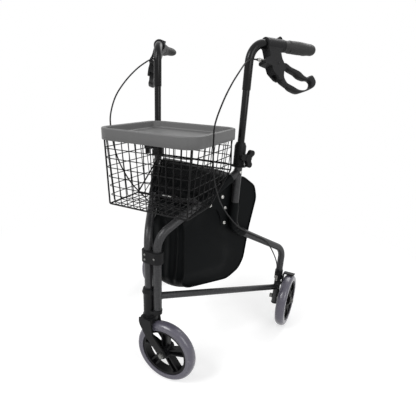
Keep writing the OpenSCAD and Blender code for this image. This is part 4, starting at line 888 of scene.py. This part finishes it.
def bag_surface():
    """Bag: a closed outline carried across its width. From the middle of one side panel the outline grows
    to full size, crosses as the band, and shrinks again on the other panel. The band swells by a
    parabola, and at the front it has bell-shaped ridges and valleys that drift with height, and short
    puckers at the top. The panels swell below the straps."""
    loop = even_loop(BAG_CORNERS, 260, 9.0)
    n = loop_normals(loop)
    grow = np.sin(np.linspace(0.02, np.pi / 2, 26))
    v = np.linspace(-1, 1, 57)[1:-1]
    scale = np.concatenate([grow, np.ones(len(v)), grow[::-1]])[None, :]
    across = np.concatenate([-np.ones(26), v, np.ones(26)])[None, :]
    centre = np.array([190.0, 388.0])
    y = centre[0] + scale * (loop[:, :1] - centre[0])
    z = centre[1] + scale * (loop[:, 1:] - centre[1])
    ny, nz = n[:, :1], n[:, 1:]
    on_band = np.where(scale < 1, 0.0, 1.0)
    crown = 1 - across**2
    front = smooth(0.5, 0.85, -ny)
    drift = across - 0.06 * np.sin(z / 52.0)
    fold = lambda middle, width: np.exp(-(((drift - middle) / width) ** 2))
    pleat = (2.4 * fold(0.62, 0.13) - 5.5 * fold(0.36, 0.14) + 1.6 * fold(0.06, 0.16)
             - 4.6 * fold(-0.3, 0.15) + 2.0 * fold(-0.64, 0.14))
    pleat = front * pleat * smooth(238, 300, z) * smooth(470, 400, z)
    pucker = (np.sin(z / 5.2 + 7.0 * across + 2.0 * np.sin(5.0 * across))
              * smooth(398, 425, z) * smooth(490, 462, z))
    pleat = pleat + 1.3 * front * pucker * (1 - np.abs(across))
    below = smooth(0.4, 0.9, -nz)
    top = smooth(0.4, 0.9, nz)
    back = smooth(0.5, 0.9, ny)
    swell = (crown * (2.0 + 7.0 * below + 9.0 * back + 3.0 * top)
             + crown * back * 2.5 * np.sin(z / 21.0 + 3 * across))
    push = on_band * (swell + pleat)
    soft = (1 - scale**4) * smooth(465, 402, z) * smooth(232, 190, y)
    wave = 0.5 * np.sin(y / 31.0 + z / 47.0) + 0.35 * np.sin(z / 23.0 - y / 57.0)
    half = bag_half(y) + bag_spread(y, z) + (1 - on_band) * (3.0 * soft + wave * (1 - scale**6) - 0.8)
    return in_column(across * half, y + push * ny, z + push * nz + bag_slump(across, z)), loop


def bag_edge(loop, across):
    """Piping: a thin round cord along the outline at one side panel."""
    y, z = loop.T
    half = bag_half(y) + bag_spread(y, z) - 0.3
    return sweep(in_column(across * half, y, z + bag_slump(across, z)), 2.3, (1, 0, 0), 8, closed=True)


skin, loop = bag_surface()
bag = Piece().grid(skin.transpose(1, 0, 2), caps=True)
for across in (-1, 1):
    bag.grid(bag_edge(loop, across), loop=True)
sewn = bag.build("bag_sewn", LOOKS["vinyl"], "vinyl", None, ("bag",), 60.0)
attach(sewn, "right_frame")
tuple((in_side(-1, -15.0, 220.0, 387.0) * 0.001).tolist())
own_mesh(sewn)


# Straps: a sleeve round each knee, a flap to the bag, and press studs
def strap_sleeve(side):
    """Sleeve: a tube round the knee whose radius wrinkles along the bend and puckers at the ends."""
    path = bent([on_upright(482.0), KNEE, (KNEE[0] + 52 * 0.877, KNEE[1] - 52 * 0.480)], [50], 40)
    fill = np.linspace(0, len(path) - 1, 140)
    path = np.stack([np.interp(fill, np.arange(len(path)), path[:, k]) for k in (0, 1)], -1)
    run = np.concatenate([[0], np.cumsum(np.linalg.norm(np.diff(path, axis=0), axis=1))])
    a = np.linspace(0, 2 * np.pi, 40, endpoint=False)[None, :]
    bend = np.exp(-((run - 0.62 * run[-1]) / 22.0) ** 2)[:, None]
    r = (13.2 + 0.55 * bend * np.sin(run[:, None] / 2.1 + 1.3 * np.sin(a))
         + 0.3 * np.sin(run[:, None] / 7.0 + 2 * a))
    hem = np.minimum(run, run[-1] - run)[:, None]
    r = r - 1.7 * np.exp(-hem / 0.5) + 0.5 * np.exp(-((hem - 3.0) / 1.2) ** 2)
    points = in_side(side, 0.0, path[:, 0], path[:, 1])
    ref = in_side(side, 1.0, 0.0, 0.0) - in_side(side, 0.0, 0.0, 0.0)
    return sweep(points, r, ref, 40)


def diagonal_sleeve(side):
    """Sleeve: a tube round the diagonal whose radius ripples by two sines and is drawn in at both hems."""
    run = np.linspace(0, 118, 90)
    ahead = unit(np.array([UPRIGHT_S, JUNCTION_Z - FRONT_BEND_Z]))
    path = np.array([0.0, FRONT_BEND_Z]) + (126.0 / ahead[0] + run[:, None]) * ahead
    a = np.linspace(0, 2 * np.pi, 40, endpoint=False)[None, :]
    hem = np.minimum(run, run[-1] - run)[:, None]
    r = (12.9 + 0.35 * np.sin(run[:, None] / 6.3 + 2 * a)
         + 0.2 * np.sin(run[:, None] / 2.9 + 3 * np.sin(a)))
    r = r - 1.5 * np.exp(-hem / 0.5) + 0.4 * np.exp(-((hem - 3.0) / 1.2) ** 2)
    ref = in_side(side, 1.0, 0.0, 0.0) - in_side(side, 0.0, 0.0, 0.0)
    return sweep(in_side(side, 0.0, path[:, 0], path[:, 1]), r, ref, 40)


STUDS = [(213, 499), (225, 465), (224, 420), (171, 480)]


def strap_flap(side):
    """Flap of the strap: a thin plate between bag and tubes, from the upright forward under the diagonal,
    that waves outward by a sine of s and z."""
    outline = even_loop([(160, 487), (168, 507), (236, 545), (246, 543), (246, 417), (236, 407),
                         (212, 407), (208, 439), (196, 465), (164, 469)], 140, 4.0)
    waved = lambda x, s, z: in_side(side, x + 0.35 * np.sin(s / 9.0 + z / 13.0), s, z)
    return plate(waved, outline, 0.8, 0.6, -12.6)


def stud(side, s, z):
    """Press stud: a low dome with a rolled rim, turned about its own axis."""
    r, out = np.array([(0.0, -10.0), (2.0, -10.1), (3.2, -10.5), (3.7, -11.0), (4.2, -10.7),
                       (4.9, -10.9), (5.1, -11.6), (5.0, -12.4)]).T
    a = np.linspace(0, 2 * np.pi, 24, endpoint=False)[:, None]
    return in_side(side, out + 0 * a, s + r * np.cos(a), z + r * np.sin(a))


for name, side in SIDES.items():
    Piece().grid(strap_sleeve(side), caps=True).grid(strap_flap(side), caps=True).build(
        "strap_" + name + "_sewn", LOOKS["vinyl"], "vinyl", name + "_frame", ("bag_strap_" + name,), 60.0)
    Piece().grid(diagonal_sleeve(side), caps=True).build(
        "sleeve_" + name + "_sewn", LOOKS["vinyl"], "vinyl", name + "_frame", (), 60.0)
    studs = Piece()
    for place in STUDS:
        studs.grid(stud(side, *place), around=False, loop=True)
    studs.build("strap_studs_" + name, LOOKS["steel"], "bright_steel", name + "_frame")


# Bolt heads on the uprights at the diagonals, and the blank label on the brace
def bolt_head(side, z):
    """Domed head: a profile of (radius, rise) turned about an axis across the upright."""
    r, rise = np.array([(0.0, 3.4), (2.2, 3.1), (3.6, 2.3), (4.3, 1.2), (4.5, 0.2), (4.5, -1.0)]).T
    a = np.linspace(0, 2 * np.pi, 28, endpoint=False)[:, None]
    return in_side(side, TUBE_R + rise + 0 * a, float(upright(z)) + r * np.cos(a), z + r * np.sin(a))


for name, side in SIDES.items():
    Piece().grid(bolt_head(side, JUNCTION_Z + 2.0), around=False, loop=True).build(
        "upright_bolt_" + name, LOOKS["steel"], "bright_steel", name + "_frame")


def label_sheet():
    """Label: a thin rounded rectangle on the front of the right brace bar, with its corners rounded off."""
    x, z = rounded_box(14.0, -4.2, 4.2, 1.2, 5).T
    depth = np.array([108.1, 107.88, 107.86])[:, None]
    shrink = np.array([1.0, 1.0, 0.985])[:, None]
    return in_column(-27.0 + shrink * x, depth + 0 * x, 499.0 + shrink * z)


label = Piece().grid(label_sheet(), caps=True)
label.build("brace_label_blank", LOOKS["label"], "black_plastic", "brace_right")


# Solids that keep their own shape, with rounded edges
for node in ("hinge_bracket", "caster_housing", "caster_fork"):
    dress(node, LOOKS["plastic"], 1.2, 3)
for node in ("front_rim", "rear_rim_left", "rear_rim_right"):
    dress(node, LOOKS["wheel"], 0.8)
for node in ("hinge_rivets", "hinge_pin", "front_axle", "rear_axle_left", "rear_axle_right"):
    dress(node, LOOKS["rivet"], 0.4)
dress("caster_bolt", LOOKS["steel"], 0.4)
for name in SIDES:
    for node, width in (("height_clamp_", 1.2), ("star_knob_", 2.2), ("tube_plugs_", 0.6),
                        ("brake_bracket_", 0.7), ("brake_arm_", 0.6)):
        dress(node + name, LOOKS["plastic"], width, 3)
    dress("brake_housing_" + name, LOOKS["brake"], 1.2, 3)
    dress("lever_pin_" + name, LOOKS["brake"], 0.4)
    dress("cable_adjuster_" + name, LOOKS["steel"], 0.4)
    dress("brace_tab_" + name, LOOKS["paint"], 0.5)
    dress("brace_bar_" + name, LOOKS["enamel"], 0.5)
bearings = nodes["caster_bearings"].data
bearings.materials.clear()
bearings.materials.append(LOOKS["steel"])


# Stage: floor, lights, world and camera
def background_rays(tree):
    """One for the rays that see the background: those of the camera, of reflections and of clear pieces."""
    path = tree.nodes.new("ShaderNodeLightPath")
    seen = Value(tree, path.outputs["Is Camera Ray"])
    for kind in ("Is Glossy Ray", "Is Transmission Ray"):
        seen = seen.math("MAXIMUM", seen, Value(tree, path.outputs[kind]))
    return seen


def floor_look():
    """Pale floor that keeps the shadow near the object and fades to the background's white further out."""
    made = bpy.data.materials.new("pale_floor")
    made.use_nodes = True
    tree = made.node_tree
    tree.nodes.clear()
    spot = Value(tree, tree.nodes.new("ShaderNodeTexCoord").outputs["Object"])
    seen = background_rays(tree)
    reach = spot.node("ShaderNodeVectorMath", {"operation": "LENGTH"}, {0: spot}, "Value")
    far = ramp(reach, 0.55, 1.3)
    white = spot.node("ShaderNodeEmission", {}, {"Color": (1, 1, 1, 1), "Strength": 1.0})
    glow = spot.node("ShaderNodeEmission", {}, {"Color": (1, 1, 1, 1), "Strength": seen * 0.54})
    matt = spot.node("ShaderNodeBsdfDiffuse", {}, {"Color": (0.62, 0.62, 0.62, 1)})
    lit = spot.node("ShaderNodeAddShader", {}, {0: matt, 1: glow})
    plain = spot.node("ShaderNodeMixShader", {}, {0: seen, 1: matt, 2: white})
    mixed = spot.node("ShaderNodeMixShader", {}, {0: far, 1: lit, 2: plain})
    out = tree.nodes.new("ShaderNodeOutputMaterial")
    tree.links.new(mixed.socket, out.inputs["Surface"])
    return made


def floor_piece():
    """Floor: a flat grid of squares under the wheels."""
    t = np.linspace(-6000.0, 6000.0, 9)
    x, y = np.meshgrid(t, t, indexing="ij")
    mesh = bpy.data.meshes.new("floor")
    n = len(t)
    i, j = np.meshgrid(np.arange(n - 1), np.arange(n - 1), indexing="ij")
    quads = np.stack([i * n + j, (i + 1) * n + j, (i + 1) * n + j + 1, i * n + j + 1], -1).reshape(-1, 4)
    mesh.from_pydata((np.stack([x, y, 0 * x], -1).reshape(-1, 3) * 0.001).tolist(), [], quads.tolist())
    mesh.materials.append(floor_look())
    obj = bpy.data.objects.new("floor", mesh)
    bpy.context.scene.collection.objects.link(obj)
    obj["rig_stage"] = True


def world_light():
    """White to the camera and in reflections, and a quiet even light on everything else."""
    world = bpy.data.worlds.new("studio")
    bpy.context.scene.world = world
    world.use_nodes = True
    tree = world.node_tree
    tree.nodes.clear()
    seen = background_rays(tree)
    light = seen.node("ShaderNodeBackground", {}, {"Color": (1, 1, 1, 1), "Strength": 0.40 + seen * 0.60})
    out = tree.nodes.new("ShaderNodeOutputWorld")
    tree.links.new(light.socket, out.inputs["Surface"])


def lamp(name, place, target, size, power):
    """Soft square lamp that faces a target: its axes are the direction to it and two square to that."""
    data = bpy.data.lights.new(name, "AREA")
    data.size, data.energy = size, power
    obj = bpy.data.objects.new(name, data)
    back = unit(np.array(place, float) - np.array(target, float))
    right = unit(np.cross((0, 0, 1), back))
    turn = np.column_stack([right, np.cross(back, right), back])
    matrix = np.eye(4)
    matrix[:3, :3], matrix[:3, 3] = turn, place
    obj.matrix_world = Matrix(matrix.tolist())
    bpy.context.scene.collection.objects.link(obj)


def photo_camera():
    """Camera of the photograph: its axes and place in the shared frame, and its focal length in pixels."""
    data = bpy.data.cameras.new("camera")
    data.sensor_width, data.sensor_fit, data.lens = 36.0, "HORIZONTAL", 36.0 * 347.77 / 416.0
    data.clip_start, data.clip_end = 0.01, 50.0
    matrix = np.eye(4)
    matrix[:3, 0] = (0.895092, 0.444222, 0.038433)
    matrix[:3, 1] = (-0.179625, 0.280357, 0.942939)
    matrix[:3, 2] = (0.408099, -0.850921, 0.330739)
    matrix[:3, 3] = (0.471246, -0.898611, 0.791420)
    obj = bpy.data.objects.new("camera", data)
    obj.matrix_world = Matrix(matrix.tolist())
    bpy.context.scene.collection.objects.link(obj)
    bpy.context.scene.camera = obj


floor_piece()
world_light()
lamp("key", (-0.9, -1.9, 2.3), (0, 0, 0.45), 1.1, 42.0)
lamp("fill", (2.0, -0.9, 1.5), (0, 0, 0.45), 1.4, 20.0)
lamp("back", (0.4, 1.9, 2.2), (0, 0, 0.5), 1.2, 22.0)
photo_camera()
bpy.context.scene.view_settings.view_transform = "Standard"

{"cad": cad_box, "visual": [list(corner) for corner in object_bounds()]}
